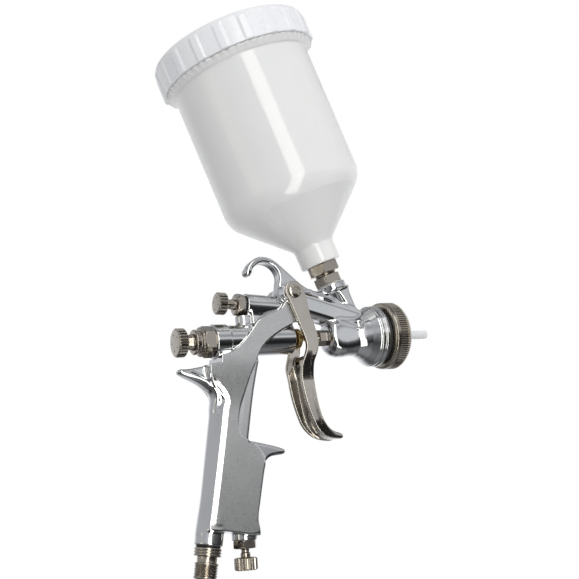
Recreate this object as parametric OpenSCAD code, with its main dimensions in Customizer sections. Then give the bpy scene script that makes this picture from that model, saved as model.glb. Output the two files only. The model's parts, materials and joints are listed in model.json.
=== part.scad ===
// Gravity-feed HVLP spray gun, as an assembly of separate pieces.
// Lengths are in millimetres. The origin is the middle of the air inlet's open end, where the
// hose screws on. +X points the way the gun sprays, +Z is up and the gun is level.
//
// Four frames are used:
//   gun frame   X along the needle's axis, zero at the station where the sizes below count from
//   grip frame  along the leaning grip, from the hose end upwards
//   cup frame   along the tilted cup, from the needle's axis upwards
//   fan frame   along the fan valve, from its knob's end face forwards

/* [Overall] */
// Height of the needle axis above the hose end
needle_h = 129.2; // [115:0.2:150]
// Lean of the grip from the vertical, in degrees
grip_lean = 13; // [9:0.5:16]
// Needle-axis station at which the grip's axis crosses it
grip_cross = -33.4; // [-36:0.2:-31]

/* [Cup] */
// Outer radius of the cup's body
cup_r = 45; // [40:0.5:55]
// Wall thickness of the cup
cup_wall = 2.2; // [1.4:0.1:3]
// Length of the cup's straight side, from the shoulder to the rim
cup_side = 97.2; // [80:0.2:130]
// Tilt of the cup's axis from the vertical, in degrees
cup_tilt = 17.8; // [12:0.2:20]
// Needle-axis station that the cup's axis points at
cup_x = 51; // [49:0.2:53]
// Height of the shoulder cone
cone_h = 26.3; // [20:0.1:34]
// Radius of the cup's neck
neck_r = 12.8; // [12:0.1:15]
// Length of the cup's neck
neck_len = 13.6; // [12:0.1:18]
// Height of the lid's skirt
lid_h = 18.8; // [15:0.1:24]
// Thickness of the lid
lid_wall = 2.2; // [1.6:0.1:3]
// Number of grip ribs on the lid
lid_ribs = 20; // [12:1:30]

/* [Body casting] */
// Outer radius of the needle tube
tube_r = 9.2; // [8.8:0.1:10.5]
// Radius of the air-valve chamber inside the needle tube
chamber_r = 7; // [6.8:0.1:7.4]
// Half width of the S-shaped web
web_half = 9.8; // [9.6:0.1:11]
// Radius of the fan-control tube
fan_tube_r = 7; // [6.5:0.1:8]
// Downward dip of the fan valve's axis, in degrees
fan_dip = 5; // [3:0.5:7]
// Height of the trigger pivot above the needle axis
pivot_z = 26.6; // [25:0.1:28]
// Needle-axis station of the trigger pivot
pivot_x = 7; // [6:0.1:8]
// Radius inside the hanging hook
hook_r = 9.3; // [8:0.1:9.6]
// Half thickness of the hook
hook_half = 4; // [3:0.1:5]

/* [Grip] */
// Radius of the rounded back of the grip
back_r = 6.9; // [6.4:0.1:7.6]
// Half thickness of the grip's flat sides
grip_half = 8; // [7.6:0.1:9]
// Front-to-back reach of the upper grip, from the grip's axis
upper_reach = 16.5; // [14:0.1:19]
// Front-to-back reach of the lower grip, from the grip's axis
lower_reach = 26.6; // [26:0.1:29]
// Reach of the finger spur from the grip's axis
spur_reach = 40; // [36:0.1:44]
// Radius of the air passage in the grip
air_bore_r = 3.4; // [3:0.1:4]

/* [Air inlet] */
// Major radius of the quarter-inch pipe thread
inlet_thread_r = 6.58; // [6.2:0.01:7]
// Length of the thread
inlet_thread_len = 8.5; // [7:0.1:11]
// Length of the plain neck behind the thread
inlet_neck_len = 3.4; // [2:0.1:5]
// Length of the ridged collar
inlet_collar_len = 5.6; // [4:0.1:7]
// Radius of the ridged collar
inlet_collar_r = 7.5; // [7.2:0.1:7.8]

/* [Air cap] */
// Outer radius of the retaining ring
ring_r = 21.2; // [20.6:0.01:22]
// Length of the retaining ring
ring_len = 12.6; // [12:0.1:15]
// Radius of the thread that the retaining ring turns on
spigot_r = 15.2; // [14.8:0.1:15.6]
// Radius of the fluid nozzle's outlet
outlet_r = 0.7; // [0.5:0.05:1.2]

/* [Trigger] */
// Angle that the trigger swings through, in degrees
trigger_swing = 11; // [8:0.5:11]
// Thickness of the trigger's side arms
arm_t = 2.4; // [2:0.1:3]
// Half width of the trigger's finger channel
channel_half = 9.2; // [8.5:0.1:10]

/* [Fits] */
// Radial clearance of a shaft that turns or slides in its hole
run_fit = 0.05; // [0.02:0.01:0.1]
// Clearance between a fixed piece and its seat
seat_gap = 0.05; // [0.02:0.01:0.1]
// Clearance between pieces that move past each other
move_gap = 0.3; // [0.2:0.05:0.5]

/* [Hidden] */
$fn = 72;

chrome = [0.74, 0.76, 0.79];
nickel = [0.62, 0.58, 0.53];
brass = [0.62, 0.47, 0.26];
steel = [0.7, 0.7, 0.7];
milk = [0.93, 0.93, 0.92];
black = [0.06, 0.06, 0.06];

// Stations on the needle's axis, from the back of the gun to its front
tube_back = -44.5;
tube_front = 6.6;
chamber_back = -36;
seat_len = 7;
seat_front = 4;
bushing_hex_len = 6;
bushing_hex_r = 9.4;
bushing_collar_r = 7.3;
bushing_collar_len = 5;
bushing_neck_len = 0.8;
bushing_shank_r = chamber_r + 0.4;
bushing_back = tube_back - bushing_hex_len - bushing_neck_len - bushing_collar_len;
knob_stem_r = 4.05;
knob_gap = 5.2;
knob_len = 5.6;
knob_r = 8.3;
knob_neck_r = 4.9;
knob_stem_front = -46;
head_back = 31.5;
slot_top = 11.2;
bell_front = 67.5;
bell_r = 19.2;
seal_r = 17.2;
seal_len = 3;
ring_back = bell_front + seal_len + 0.2;
ring_front = ring_back + ring_len;
ring_in_r = spigot_r + 0.9;
ring_lip_r = spigot_r - 1.2;
spigot_front = 76.3;

// Needle, air valve and their travel
needle_r = 1.2;
sleeve_r = 3.3;
collar_r = chamber_r - 0.8;
collar_len = 3;
lug_x = 15.5;
lug_r = 2.5;
lug_inner = 3.4;
collar_front = lug_x - lug_r - move_gap;
collar_back = collar_front - collar_len;
valve_head_r = chamber_r - 0.9;
valve_head_len = 2;
washer_t = 0.8;
valve_tail = 4.5;
seat_back = seat_front - seat_len;
valve_head_front = seat_back - 0.1 - washer_t;
valve_head_back = valve_head_front - valve_head_len;
stem_back = valve_head_back - valve_tail;
lost_motion = 1.3;
needle_collar_r = 2.9;
needle_collar_len = 3;
needle_collar_front = stem_back - lost_motion;
needle_back = -40.5;
needle_front = 83.4;

// Head
packing_hex_r = 5;
packing_hex_back = 25.4;
packing_bore_r = 4;
packing_bore_front = 44;
packing_seal_len = 3;
fluid_chamber_r = 4;
fluid_chamber_back = 49;
nozzle_back = 60;
nozzle_thread_r = 7;
nozzle_thread_front = 66.4;
nozzle_hex_r = 8.4;
nozzle_tip_r = 1.9;
nozzle_front = 84.4;
air_chamber_r = spigot_r - 2.6;

// Grip
grip_bottom = inlet_thread_len + inlet_neck_len + inlet_collar_len;
inlet_shank_r = inlet_thread_r - 0.98;
grip_boss_r = inlet_shank_r + 2.3;
plate_bottom = grip_bottom + 8;
spur_s = plate_bottom + 50.5;
grip_top = needle_h / cos(grip_lean);
upper_flat = 9;
front_half = 5.6;
reg_u = 20.6;
reg_cant = 9.7;

// Fan valve, on its own axis
fan_rear_x = -39.3;
fan_rear_z = 22.84;
fan_knob_r = 6.6;
fan_knob_len = 5.8;
fan_neck_r = 3.1;
fan_hex_from = 11.5;
fan_hex_len = 5;
fan_hex_r = 7;
fan_ring_len = 1.6;
fan_tube_from = fan_hex_from + fan_hex_len + fan_ring_len;
fan_tube_len = 30;
fan_shank_r = 5;
fan_shank_len = 9;
fan_bore_r = 2.6;
post_x = -22.9;
post_r = 4.8;

// Pivot and trigger
pivot_boss_r = 6.3;
pivot_boss_half = max(web_half, tube_r + 0.6) + 0.4;
pin_r = 2.5;
arm_in = pivot_boss_half + move_gap + 0.1;
arm_out = arm_in + arm_t;
pin_head_r = 4.1;
pin_head_t = 1.3;

// Cup, on its own axis, from the needle's axis upwards
flange_r = 9.5;
flange_from = 31;
flange_top = 35.4;
inlet_bore_r = 4.8;
feed_r = 2.4;
fitting_washer_t = 0.5;
fitting_from = flange_top + fitting_washer_t + 2 * seat_gap;
fitting_len = 5.5;
fitting_hex_r = 9.3;
nut_thread_r = 6.8;
nut_gap = 1.8;
nut_from = fitting_from + fitting_len + nut_gap;
nut_len = 6.1;
nut_hex_r = 10.7;
nut_shank_r = 7.9;
nut_bore_r = 4.5;
neck_from = nut_from + nut_len + seat_gap;
nut_shank_top = neck_from + neck_len - 3;
cone_from = neck_from + neck_len;
shoulder_r = 14;
cone_r = neck_r + 1;
shoulder_from = cone_from + cone_h;
side_from = shoulder_from + 11;
rim = side_from + cup_side;
gasket_t = 1.5;
lid_plate_under = rim + gasket_t + 0.3;
lid_plate_top = lid_plate_under + lid_wall;
lid_top = lid_plate_top + 1.8;
lid_bottom = lid_top - lid_h;
thread_crest_r = cup_r + 2.3;
lid_in_r = thread_crest_r + move_gap;
lid_r = lid_in_r + lid_wall + 1;
rib_r = 1.2;
vent_r = 4.5;

// ---------- frames and shared shapes ----------

module gun_frame() {
    translate([needle_h * tan(grip_lean) - grip_cross, 0, needle_h]) children();
}

// Along the needle's axis: the children's +Z becomes the gun's +X
module along_needle(x) {
    gun_frame() translate([x, 0, 0]) rotate([0, 90, 0]) children();
}

module on_grip(s) {
    rotate([0, grip_lean, 0]) translate([0, 0, s]) children();
}

module on_cup(s) {
    gun_frame() translate([cup_x, 0, 0]) rotate([0, -cup_tilt, 0]) translate([0, 0, s]) children();
}

module on_fan(d) {
    gun_frame() translate([fan_rear_x, 0, fan_rear_z]) rotate([0, 90 + fan_dip, 0])
        translate([0, 0, d]) children();
}

// Down the regulator: the children's +Z points down, away from the grip
module on_regulator(d) {
    on_grip(plate_bottom) translate([reg_u, 0, 0]) rotate([0, 180 - reg_cant, 0])
        translate([0, 0, d]) children();
}

// A flat plate in the XZ plane, with the given outline and half thickness
module plate(half, points) {
    rotate([90, 0, 0]) linear_extrude(2 * half, center = true) polygon(points);
}

// Points of an arc in the XZ plane
function arc(c, r, from, to, steps) =
    [for (i = [0 : steps]) let (a = from + (to - from) * i / steps) c + r * [cos(a), sin(a)]];

module tube(outer, inner, len) {
    difference() {
        cylinder(r = outer, h = len);
        translate([0, 0, -1]) cylinder(r = inner, h = len + 2);
    }
}

module hexagon(r, len) {
    cylinder(r = r, h = len, $fn = 6);
}

// A knob with straight flutes round its rim
module fluted(r, len, flutes) {
    flute_r = PI * r / flutes / 3;
    difference() {
        cylinder(r = r, h = len);
        for (i = [0 : flutes - 1])
            rotate([0, 0, i * 360 / flutes]) translate([r, 0, -1])
                cylinder(r = flute_r, h = len + 2, $fn = 16);
    }
}

// A round-wire coil spring along +Z, as one swept solid with closed ends
module coil(r, wire, len, turns) {
    sides = 6;
    per_turn = 14;
    rings = turns * per_turn;
    function corner(i, j) = let (a = i * 360 / per_turn, b = j * 360 / sides, q = r + wire * cos(b))
        [q * cos(a), q * sin(a), wire + (len - 2 * wire) * i / rings + wire * sin(b)];
    points = [for (i = [0 : rings]) for (j = [0 : sides - 1]) corner(i, j)];
    walls = [for (i = [0 : rings - 1]) for (j = [0 : sides - 1]) let (k = (j + 1) % sides)
        [i * sides + j, i * sides + k, (i + 1) * sides + k, (i + 1) * sides + j]];
    start = [for (j = [sides - 1 : -1 : 0]) j];
    end = [for (j = [0 : sides - 1]) rings * sides + j];
    polyhedron(points, concat([start], walls, [end]), convexity = 8);
}

// ---------- body casting ----------

module hook_shape() {
    hook_c = [-6.2, 38.2];
    outer = hook_r + 3.6;
    gun_frame() difference() {
        plate(hook_half, concat(
            arc(hook_c, outer, 62, 168, 8),
            [hook_c + (hook_r - 1) * [cos(168), sin(168)], hook_c, [-1.5, 26], [16, 24], [21, 31.5],
                [16.7, 35.6]]));
        translate([hook_c[0], 0, hook_c[1]]) rotate([90, 0, 0])
            cylinder(r = hook_r, h = 4 * hook_half, center = true);
        translate([-20, -2 * hook_half, 22]) cube([12, 4 * hook_half, 16.5]);
    }
}

// The flat S-shaped web that carries the needle tube on the grip
module web_shape() {
    gun_frame() plate(web_half, [[-5.5, 15.4], [-17.5, 11], [-23.1, 3.9], [-34.5, -6.7], [-43.5, -9.5],
        [-43.5, -14], [-23, -14], [-20.3, -10.3], [-16.4, -4.8], [-11.2, -0.6], [-3.3, 4], [4.2, 7.4],
        [6.4, 12], [8, 20], [3, 19]]);
    gun_frame() plate(5.5, [[-17.6, 6], [6.5, 6], [6.5, slot_top], [14, slot_top], [14, 24], [-17.6, 21]]);
}

module horn_shape() {
    span = 21.6;
    rise = 16.8;
    root = grip_top - 40.5;
    outer = [for (a = [0 : 15 : 75]) [-back_r - span * (1 - cos(a)), root + rise * sin(a)]];
    tip = [-28.6, root + rise];
    on_grip(0) {
        plate(3.2, concat(outer, [tip, [-28.2, root + 18], [-25, root + 19.4], [-9, root + 24],
            [-4, root + 14], [-3, root]]));
        plate(6.2, concat(outer, [tip, [-27.8, root + 18], [-18, root + 17.8], [-9, root + 15.2],
            [-3.4, root + 8], [-2, root]]));
    }
}

module grip_shape() {
    top = grip_top - 4;
    neck_s = spur_s + 5;
    on_grip(0) {
        translate([0, 0, grip_bottom]) cylinder(r = grip_boss_r, h = 24);
        translate([0, 0, grip_bottom + 4]) cylinder(r = back_r + 0.3, h = grip_top - grip_bottom - 38);
        plate(grip_half, [[0, plate_bottom], [lower_reach + 0.8, plate_bottom],
            [lower_reach + 1.2, plate_bottom + 1.5], [lower_reach - 1.3, plate_bottom + 8],
            [lower_reach - 0.3, plate_bottom + 20], [lower_reach, spur_s - 14],
            [lower_reach + 1.2, spur_s - 9], [upper_flat, neck_s], [upper_flat, top - 14],
            [upper_flat + 6, top - 6], [6, top], [-8, top - 6], [-11.2, top - 17], [-7.2, top - 23],
            [-0.9, top - 26], [1.4, top - 30]]);
        plate(front_half, [[0, spur_s], [upper_reach, spur_s], [upper_reach - 0.3, spur_s + 6],
            [upper_reach + 0.2, top - 24], [upper_reach + 1.6, top - 4], [4, top]]);
        plate(6.4, [[upper_flat - 2, neck_s], [upper_flat - 2, spur_s - 20], [lower_reach, spur_s - 14],
            [lower_reach + 1.2, spur_s - 9], [lower_reach + 4, spur_s - 6.2],
            [spur_reach - 2, spur_s - 4.3], [spur_reach, spur_s - 2.6], [spur_reach - 1.6, spur_s - 1.2],
            [28, spur_s + 0.2], [upper_reach + 1, spur_s + 1.4], [upper_reach - 1, neck_s]]);
    }
    on_regulator(-6) cylinder(r = 7.05, h = 9.1);
}

// The bell of the head and the threaded spigot in front of it, turned on the needle's axis
module bell_shape() {
    along_needle(0) rotate_extrude() polygon([[0, 44], [9.4, 46], [11.2, 51], [12.8, 55], [15, 58.8],
        [17.8, 61.4], [bell_r - 0.3, 62.4], [bell_r, 63], [bell_r, bell_front - 0.5],
        [bell_r - 0.5, bell_front], [spigot_r, bell_front], [spigot_r, spigot_front], [0, spigot_front]]);
}

module head_shape() {
    gun_frame() {
        plate(8.6, [[head_back, 9.5], [head_back, -5.6], [33, -8.6], [36.5, -10.9], [40, -11.7],
            [55, -11.7], [57, -9], [57, 11], [44, 9]]);
        plate(6.6, [[12, slot_top], [head_back, slot_top], [45, 7], [58, 5], [66, 13], [58.5, 17.6],
            [50.4, 18.2], [44.7, 22], [40, 25], [36, 28.4], [33, 28.8], [27.5, 28.2], [23.8, 29.6],
            [18.6, 32.6], [12, 33]]);
    }
}

// The cup's inlet: a round flange held by the head's feed arm over a see-through window
module inlet_shape() {
    on_cup(flange_from) cylinder(r = flange_r, h = flange_top - flange_from);
    gun_frame() plate(5.4, [[41.9, 31], [50, 34], [54.6, 18.4], [58, 12], [50, 12], [47.6, 17.5]]);
}

module body_outside() {
    along_needle(tube_back) cylinder(r = tube_r, h = tube_front - tube_back);
    along_needle(tube_back) cylinder(r = tube_r + 0.9, h = 9);
    on_fan(fan_tube_from) cylinder(r = fan_tube_r, h = fan_tube_len);
    gun_frame() translate([post_x, 0, 6]) cylinder(r = post_r, h = 8.2);
    gun_frame() translate([pivot_x, 0, pivot_z]) rotate([90, 0, 0])
        cylinder(r = pivot_boss_r, h = 2 * pivot_boss_half, center = true);
    hook_shape();
    web_shape();
    horn_shape();
    grip_shape();
    bell_shape();
    head_shape();
    inlet_shape();
}

// Every hole in the casting that holds a piece or carries air or paint
module body_holes() {
    // needle tube: bushing, air chamber, brass seat and the open mouth in front of it
    along_needle(tube_back - 1) cylinder(r = bushing_shank_r + seat_gap, h = chamber_back - tube_back + 1 + seat_gap);
    along_needle(chamber_back) cylinder(r = chamber_r + seat_gap, h = tube_front - chamber_back + 1);
    // head: packing, needle passage, fluid chamber, nozzle thread, air chamber
    along_needle(head_back - 1) cylinder(r = packing_bore_r + seat_gap, h = packing_bore_front - head_back + 1);
    along_needle(packing_bore_front - 0.01) cylinder(r = 3 + seat_gap, h = packing_seal_len + 0.1);
    along_needle(packing_bore_front) cylinder(r = needle_r + 0.3, h = 8);
    along_needle(fluid_chamber_back) cylinder(r = fluid_chamber_r, h = nozzle_back - fluid_chamber_back + 1);
    along_needle(nozzle_back) cylinder(r = nozzle_thread_r + seat_gap, h = 20);
    along_needle(66.5) cylinder(r = air_chamber_r, h = 12);
    // feed from the cup
    on_cup(flange_top - 3) cylinder(r = inlet_bore_r, h = 4);
    gun_frame() translate([45.6, 0, 32.6]) rotate([0, 180 - 14.5, 0]) cylinder(r = feed_r, h = 31);
    // air: up the grip, across to the fan valve, along the spine to the head
    on_grip(grip_bottom - 1) cylinder(r = air_bore_r, h = grip_top - grip_bottom - 6);
    on_grip(grip_bottom - 1) cylinder(r = inlet_shank_r + seat_gap, h = 9);
    gun_frame() translate([-10, 0, 3]) cylinder(r = 2.2, h = 17);
    on_fan(fan_tube_from - 0.5) cylinder(r = fan_shank_r + seat_gap, h = fan_shank_len + 0.5);
    on_fan(fan_tube_from) cylinder(r = fan_bore_r, h = fan_tube_len - 2);
    gun_frame() translate([-2, 0, 19.5]) rotate([0, 97.8, 0]) cylinder(r = feed_r, h = 72);
    // clear room for the fan valve's hexagon and ring over the post
    on_fan(fan_hex_from - 1) cylinder(r = fan_hex_r + move_gap, h = fan_hex_len + fan_ring_len + 1);
    // regulator
    on_regulator(-14) cylinder(r = 4.2 + seat_gap, h = 20);
    on_regulator(-24) cylinder(r = 2, h = 12);
    // trigger pivot
    gun_frame() translate([pivot_x, 0, pivot_z]) rotate([90, 0, 0])
        cylinder(r = pin_r + seat_gap, h = 3 * arm_out, center = true);
}

module gun_body() {
    color(chrome) difference() {
        body_outside();
        body_holes();
    }
}

// ---------- air inlet and regulator ----------

module air_inlet() {
    color(nickel) difference() {
        union() {
            cylinder_on_grip(0, inlet_thread_r, inlet_thread_len);
            cylinder_on_grip(inlet_thread_len - 0.5, inlet_thread_r - 1.1, inlet_neck_len + 1);
            cylinder_on_grip(inlet_thread_len + inlet_neck_len, inlet_collar_r,
                inlet_collar_len - 0.8);
            cylinder_on_grip(grip_bottom - 1, inlet_shank_r, 8);
        }
        on_grip(-1) cylinder(r = air_bore_r + 0.8, h = 30);
    }
}

module cylinder_on_grip(s, r, h) {
    on_grip(s) cylinder(r = r, h = h);
}

module inlet_seal() {
    color(black) on_grip(grip_bottom - 0.75) tube(inlet_shank_r + 1.3, inlet_shank_r + seat_gap, 0.7);
}

module regulator_body() {
    color(nickel) difference() {
        union() {
            on_regulator(3.15) hexagon(6.9, 4.5);
            on_regulator(-12) cylinder(r = 4.2, h = 15.5);
        }
        on_regulator(-13) cylinder(r = 2.75 + run_fit, h = 22);
    }
}

module regulator_stem() {
    color(nickel) {
        on_regulator(-8) cylinder(r = 2.75, h = 20.3);
        on_regulator(-14) cylinder(r = 1.2, h = 6.5);
    }
}

module regulator_o_ring() {
    color(black) on_regulator(-13) tube(2.4, 1.2 + seat_gap, 1);
}

module regulator_knob() {
    color(nickel) difference() {
        on_regulator(12) fluted(6.4, 7, 22);
        on_regulator(11) cylinder(r = 2.75 + seat_gap, h = 1.3 + seat_gap);
    }
}

// ---------- fan valve ----------

module fan_valve_body() {
    color(nickel) difference() {
        union() {
            on_fan(fan_hex_from) hexagon(fan_hex_r, fan_hex_len);
            on_fan(fan_hex_from + 1) cylinder(r = fan_shank_r, h = fan_tube_from - fan_hex_from - 1
                + fan_shank_len - 0.2);
        }
        on_fan(fan_hex_from - 1) cylinder(r = fan_neck_r + run_fit, h = 30);
    }
}

module fan_valve_stem() {
    color(steel) {
        on_fan(fan_knob_len + seat_gap) cylinder(r = fan_neck_r, h = 20);
        on_fan(fan_knob_len + 20) cylinder(r1 = 2, r2 = 0.8, h = 9);
    }
}

module fan_knob() {
    color(nickel) on_fan(0) fluted(fan_knob_r, fan_knob_len, 22);
}

module fan_valve_o_ring() {
    color(black) on_fan(fan_hex_from + fan_hex_len + seat_gap) tube(5.9, fan_shank_r + seat_gap,
        fan_ring_len - 2 * seat_gap);
}

// ---------- needle, air valve and fluid knob ----------

module needle_bushing() {
    shank = chamber_back - tube_back;
    color(nickel) difference() {
        union() {
            along_needle(bushing_back) cylinder(r = bushing_collar_r, h = bushing_collar_len);
            along_needle(bushing_back + 1) cylinder(r = bushing_collar_r - 0.8, h = bushing_collar_len);
            along_needle(tube_back - bushing_hex_len - seat_gap) hexagon(bushing_hex_r, bushing_hex_len);
            along_needle(tube_back - 1) cylinder(r = bushing_shank_r, h = shank + 1);
        }
        along_needle(bushing_back - 1) cylinder(r = knob_stem_r + run_fit,
            h = chamber_back - bushing_back + 2);
    }
}

module fluid_knob() {
    knob_back = bushing_back - knob_gap - knob_len;
    color(nickel) {
        along_needle(knob_back) fluted(knob_r, knob_len, 28);
        along_needle(knob_back + knob_len - 1) cylinder(r = knob_neck_r, h = knob_gap + 0.8);
        along_needle(knob_back + knob_len) cylinder(r = knob_stem_r,
            h = knob_stem_front - knob_back - knob_len);
    }
}

module needle_spring() {
    back = knob_stem_front + 0.1;
    color(steel) along_needle(back) coil(2.2, 0.35, needle_collar_front - needle_collar_len - 0.1 - back, 12);
}

module needle() {
    color(steel) {
        along_needle(needle_back) cylinder(r = needle_r, h = 80 - needle_back);
        along_needle(79.9) cylinder(r1 = needle_r, r2 = 0.3, h = needle_front - 79.9);
        along_needle(needle_collar_front - needle_collar_len) cylinder(r = needle_collar_r,
            h = needle_collar_len);
    }
}

module air_valve_stem() {
    color(brass) difference() {
        union() {
            along_needle(stem_back) cylinder(r = sleeve_r, h = collar_front - stem_back);
            along_needle(collar_back) cylinder(r = collar_r, h = collar_len);
            along_needle(valve_head_back) cylinder(r = valve_head_r, h = valve_head_len);
        }
        along_needle(stem_back - 1) cylinder(r = needle_r + 0.08, h = collar_front - stem_back + 2);
    }
}

module air_valve_washer() {
    color(black) along_needle(valve_head_front + 0.02) tube(valve_head_r - 0.3, sleeve_r + seat_gap, washer_t);
}

module air_valve_seat() {
    color(brass) along_needle(seat_back) tube(chamber_r, sleeve_r + run_fit, seat_len);
}

module air_valve_spring() {
    back = chamber_back + 0.1;
    color(steel) along_needle(back) coil(chamber_r - 1.6, 0.5, valve_head_back - 0.1 - back, 8);
}

// ---------- head and air cap ----------

module packing_nut() {
    color(nickel) difference() {
        union() {
            along_needle(packing_hex_back) hexagon(packing_hex_r, head_back - packing_hex_back - seat_gap);
            along_needle(packing_hex_back + 1) cylinder(r = packing_bore_r,
                h = packing_bore_front - packing_hex_back - 1.1);
        }
        along_needle(packing_hex_back - 1) cylinder(r = needle_r + 0.08, h = 30);
    }
}

module packing_seal() {
    color(milk) along_needle(packing_bore_front + 0.02) tube(3, needle_r + 0.04, packing_seal_len);
}

module fluid_nozzle() {
    color(steel) difference() {
        union() {
            along_needle(nozzle_back + 0.1) cylinder(r = nozzle_thread_r, h = 6.5);
            along_needle(66.6) hexagon(nozzle_hex_r, 4.2);
            along_needle(70.7) cylinder(r1 = 7.2, r2 = nozzle_tip_r, h = 10);
            along_needle(80.6) cylinder(r = nozzle_tip_r, h = nozzle_front - 80.6);
        }
        along_needle(nozzle_back - 1) cylinder(r = 2.6, h = 14);
        along_needle(72.9) cylinder(r1 = 2.6, r2 = needle_r + 0.1, h = 6);
        along_needle(78.8) cylinder(r = needle_r + 0.06, h = 1.3);
        along_needle(80) cylinder(r1 = needle_r + 0.06, r2 = outlet_r, h = 3);
        along_needle(82.9) cylinder(r = outlet_r, h = 3);
    }
}

module air_distributor() {
    color(nickel) difference() {
        along_needle(71) tube(air_chamber_r - seat_gap, 7.6, 2.4);
        for (i = [0 : 9])
            along_needle(70) rotate([0, 0, i * 36]) translate([10, 0, 0]) cylinder(r = 1, h = 5);
    }
}

module air_cap() {
    horn_pitch = 10.6;
    color(brass) difference() {
        union() {
            along_needle(spigot_front + 0.1) cylinder(r = ring_in_r - move_gap,
                h = ring_front - 3.3 - spigot_front);
            along_needle(79) cylinder(r = ring_lip_r - 0.4, h = 3.4);
            along_needle(82.3) cylinder(r1 = 12.4, r2 = 10, h = 1.2);
            for (side = [-1, 1])
                along_needle(82) rotate([0, 0, 90]) translate([0, side * horn_pitch, 0])
                    cylinder(r1 = 3.4, r2 = 2.4, h = 7);
        }
        along_needle(spigot_front - 1) cylinder(r = air_chamber_r - 0.6, h = 3.4);
        along_needle(78) cylinder(r1 = 9, r2 = 4, h = 3.4);
        along_needle(80) cylinder(r = 2.6, h = 6);
        for (side = [-1, 1])
            along_needle(79) rotate([0, 0, 90]) translate([0, side * horn_pitch, 0])
                cylinder(r = 1.1, h = 8.4);
        for (i = [0 : 5])
            along_needle(80) rotate([0, 0, 30 + i * 60]) translate([5.4, 0, 0]) cylinder(r = 0.6, h = 5);
    }
}

module air_cap_ring() {
    lip = 2.6;
    color(nickel) along_needle(0) rotate_extrude() polygon([[spigot_r + run_fit, ring_back],
        [ring_r - 1.5, ring_back], [ring_r - 0.2, ring_back + 2.6], [ring_r, ring_back + 3],
        [ring_r, ring_front - 3], [ring_r - 2.2, ring_front], [ring_lip_r, ring_front],
        [ring_lip_r, ring_front - lip], [ring_in_r, ring_front - lip],
        [ring_in_r, spigot_front - move_gap],
        [spigot_r + run_fit, spigot_front - move_gap]]);
}

module air_cap_seal() {
    color(black) along_needle(bell_front + seat_gap) tube(seal_r, spigot_r + seat_gap, seal_len - seat_gap);
}

module tip_protector() {
    color(milk) difference() {
        union() {
            along_needle(82.6) cylinder(r = 2.5, h = 25.5);
            along_needle(81.5) cylinder(r = 2.4, h = 2);
        }
        along_needle(81) cylinder(r = nozzle_tip_r + run_fit, h = nozzle_front - 81 + 1);
        along_needle(nozzle_front - 1) cylinder(r = 1.3, h = 21);
    }
}

// ---------- trigger ----------

module trigger_arm() {
    plate(arm_t / 2, concat([[3.6, 21.4], [6.8, 9.4], [10.2, -1.4], [11, -7.1], [6.6, -15], [6.6, -19],
        [13.4, -19], [14.2, -15.5], [19, -6.2], [18.8, -3.4], [17.7, 6.3], [15.9, 11.5], [15.1, 18]],
        arc([pivot_x, pivot_z], 6.1, -20, 215, 12)));
}

// The finger piece's outline: its front from top to tip, then its back up again
function finger_outline() = [[14.2, -11], [14.3, -18.3], [14.2, -28.3], [15.1, -41.2], [16.9, -50],
    [20.3, -55.6], [24, -58.5], [28.4, -59.4], [29.8, -60.4], [28.9, -61.7], [22.6, -62],
    [16.5, -59.4], [11.9, -53.4], [8.5, -41.2], [7, -29.9], [7, -18.7], [8.6, -11]];

module trigger() {
    color(nickel) gun_frame() difference() {
        union() {
            for (side = [-1, 1]) translate([0, side * (arm_in + arm_t / 2), 0]) trigger_arm();
            plate(channel_half, finger_outline());
            plate(arm_out, [[14.3, -13], [14.2, -19.5], [7.2, -19.5], [8, -13]]);
            for (side = [-1, 1]) translate([lug_x, side * (lug_inner + arm_out) / 2, 0])
                rotate([90, 0, 0]) cylinder(r = lug_r, h = arm_out - lug_inner - 1, center = true);
        }
        // hollow back of the finger piece
        plate(channel_half - 2.1, [[12, -8], [12, -28.3], [12.9, -41.2], [14.6, -49], [17.4, -54],
            [10, -62], [-4, -40], [-4, -8]]);
        plate(arm_in - 0.2, [[12, -8], [12, -22], [-4, -22], [-4, -8]]);
        translate([pivot_x, 0, pivot_z]) rotate([90, 0, 0])
            cylinder(r = pin_r + run_fit, h = 4 * arm_out, center = true);
    }
}

module trigger_pin() {
    head = arm_out + move_gap;
    color(nickel) gun_frame() translate([pivot_x, 0, pivot_z]) difference() {
        union() {
            rotate([90, 0, 0]) cylinder(r = pin_r, h = 2 * (arm_out - 1), center = true);
            translate([0, -head, 0]) rotate([90, 0, 0]) cylinder(r = pin_head_r, h = pin_head_t);
            translate([0, 1 - arm_out, 0]) rotate([90, 0, 0]) cylinder(r = pin_r, h = 1.4);
        }
        translate([0, -head - pin_head_t, 0]) cube([2 * pin_head_r + 1, 1.2, 1], center = true);
        translate([0, arm_out, 0]) rotate([90, 0, 0]) cylinder(r = 1.5, h = 8);
    }
}

module trigger_pin_screw() {
    head = arm_out + move_gap;
    color(nickel) gun_frame() translate([pivot_x, 0, pivot_z]) difference() {
        union() {
            translate([0, head + pin_head_t, 0]) rotate([90, 0, 0]) cylinder(r = pin_head_r, h = pin_head_t);
            translate([0, head + 0.5, 0]) rotate([90, 0, 0]) cylinder(r = 1.45, h = 7);
        }
        translate([0, head + pin_head_t, 0]) cube([2 * pin_head_r + 1, 1.2, 1], center = true);
    }
}

// ---------- cup ----------

module inlet_fitting() {
    color(nickel) difference() {
        union() {
            on_cup(fitting_from) hexagon(fitting_hex_r, fitting_len);
            on_cup(flange_top - 2.4) cylinder(r = inlet_bore_r - seat_gap, h = 3.4);
        }
        on_cup(fitting_from + 1) cylinder(r = nut_thread_r + run_fit, h = fitting_len);
        on_cup(flange_top - 4) cylinder(r = 3, h = 8);
    }
}

module fitting_washer() {
    color(milk) on_cup(flange_top + seat_gap) tube(8.2, inlet_bore_r + seat_gap, fitting_washer_t);
}

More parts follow.
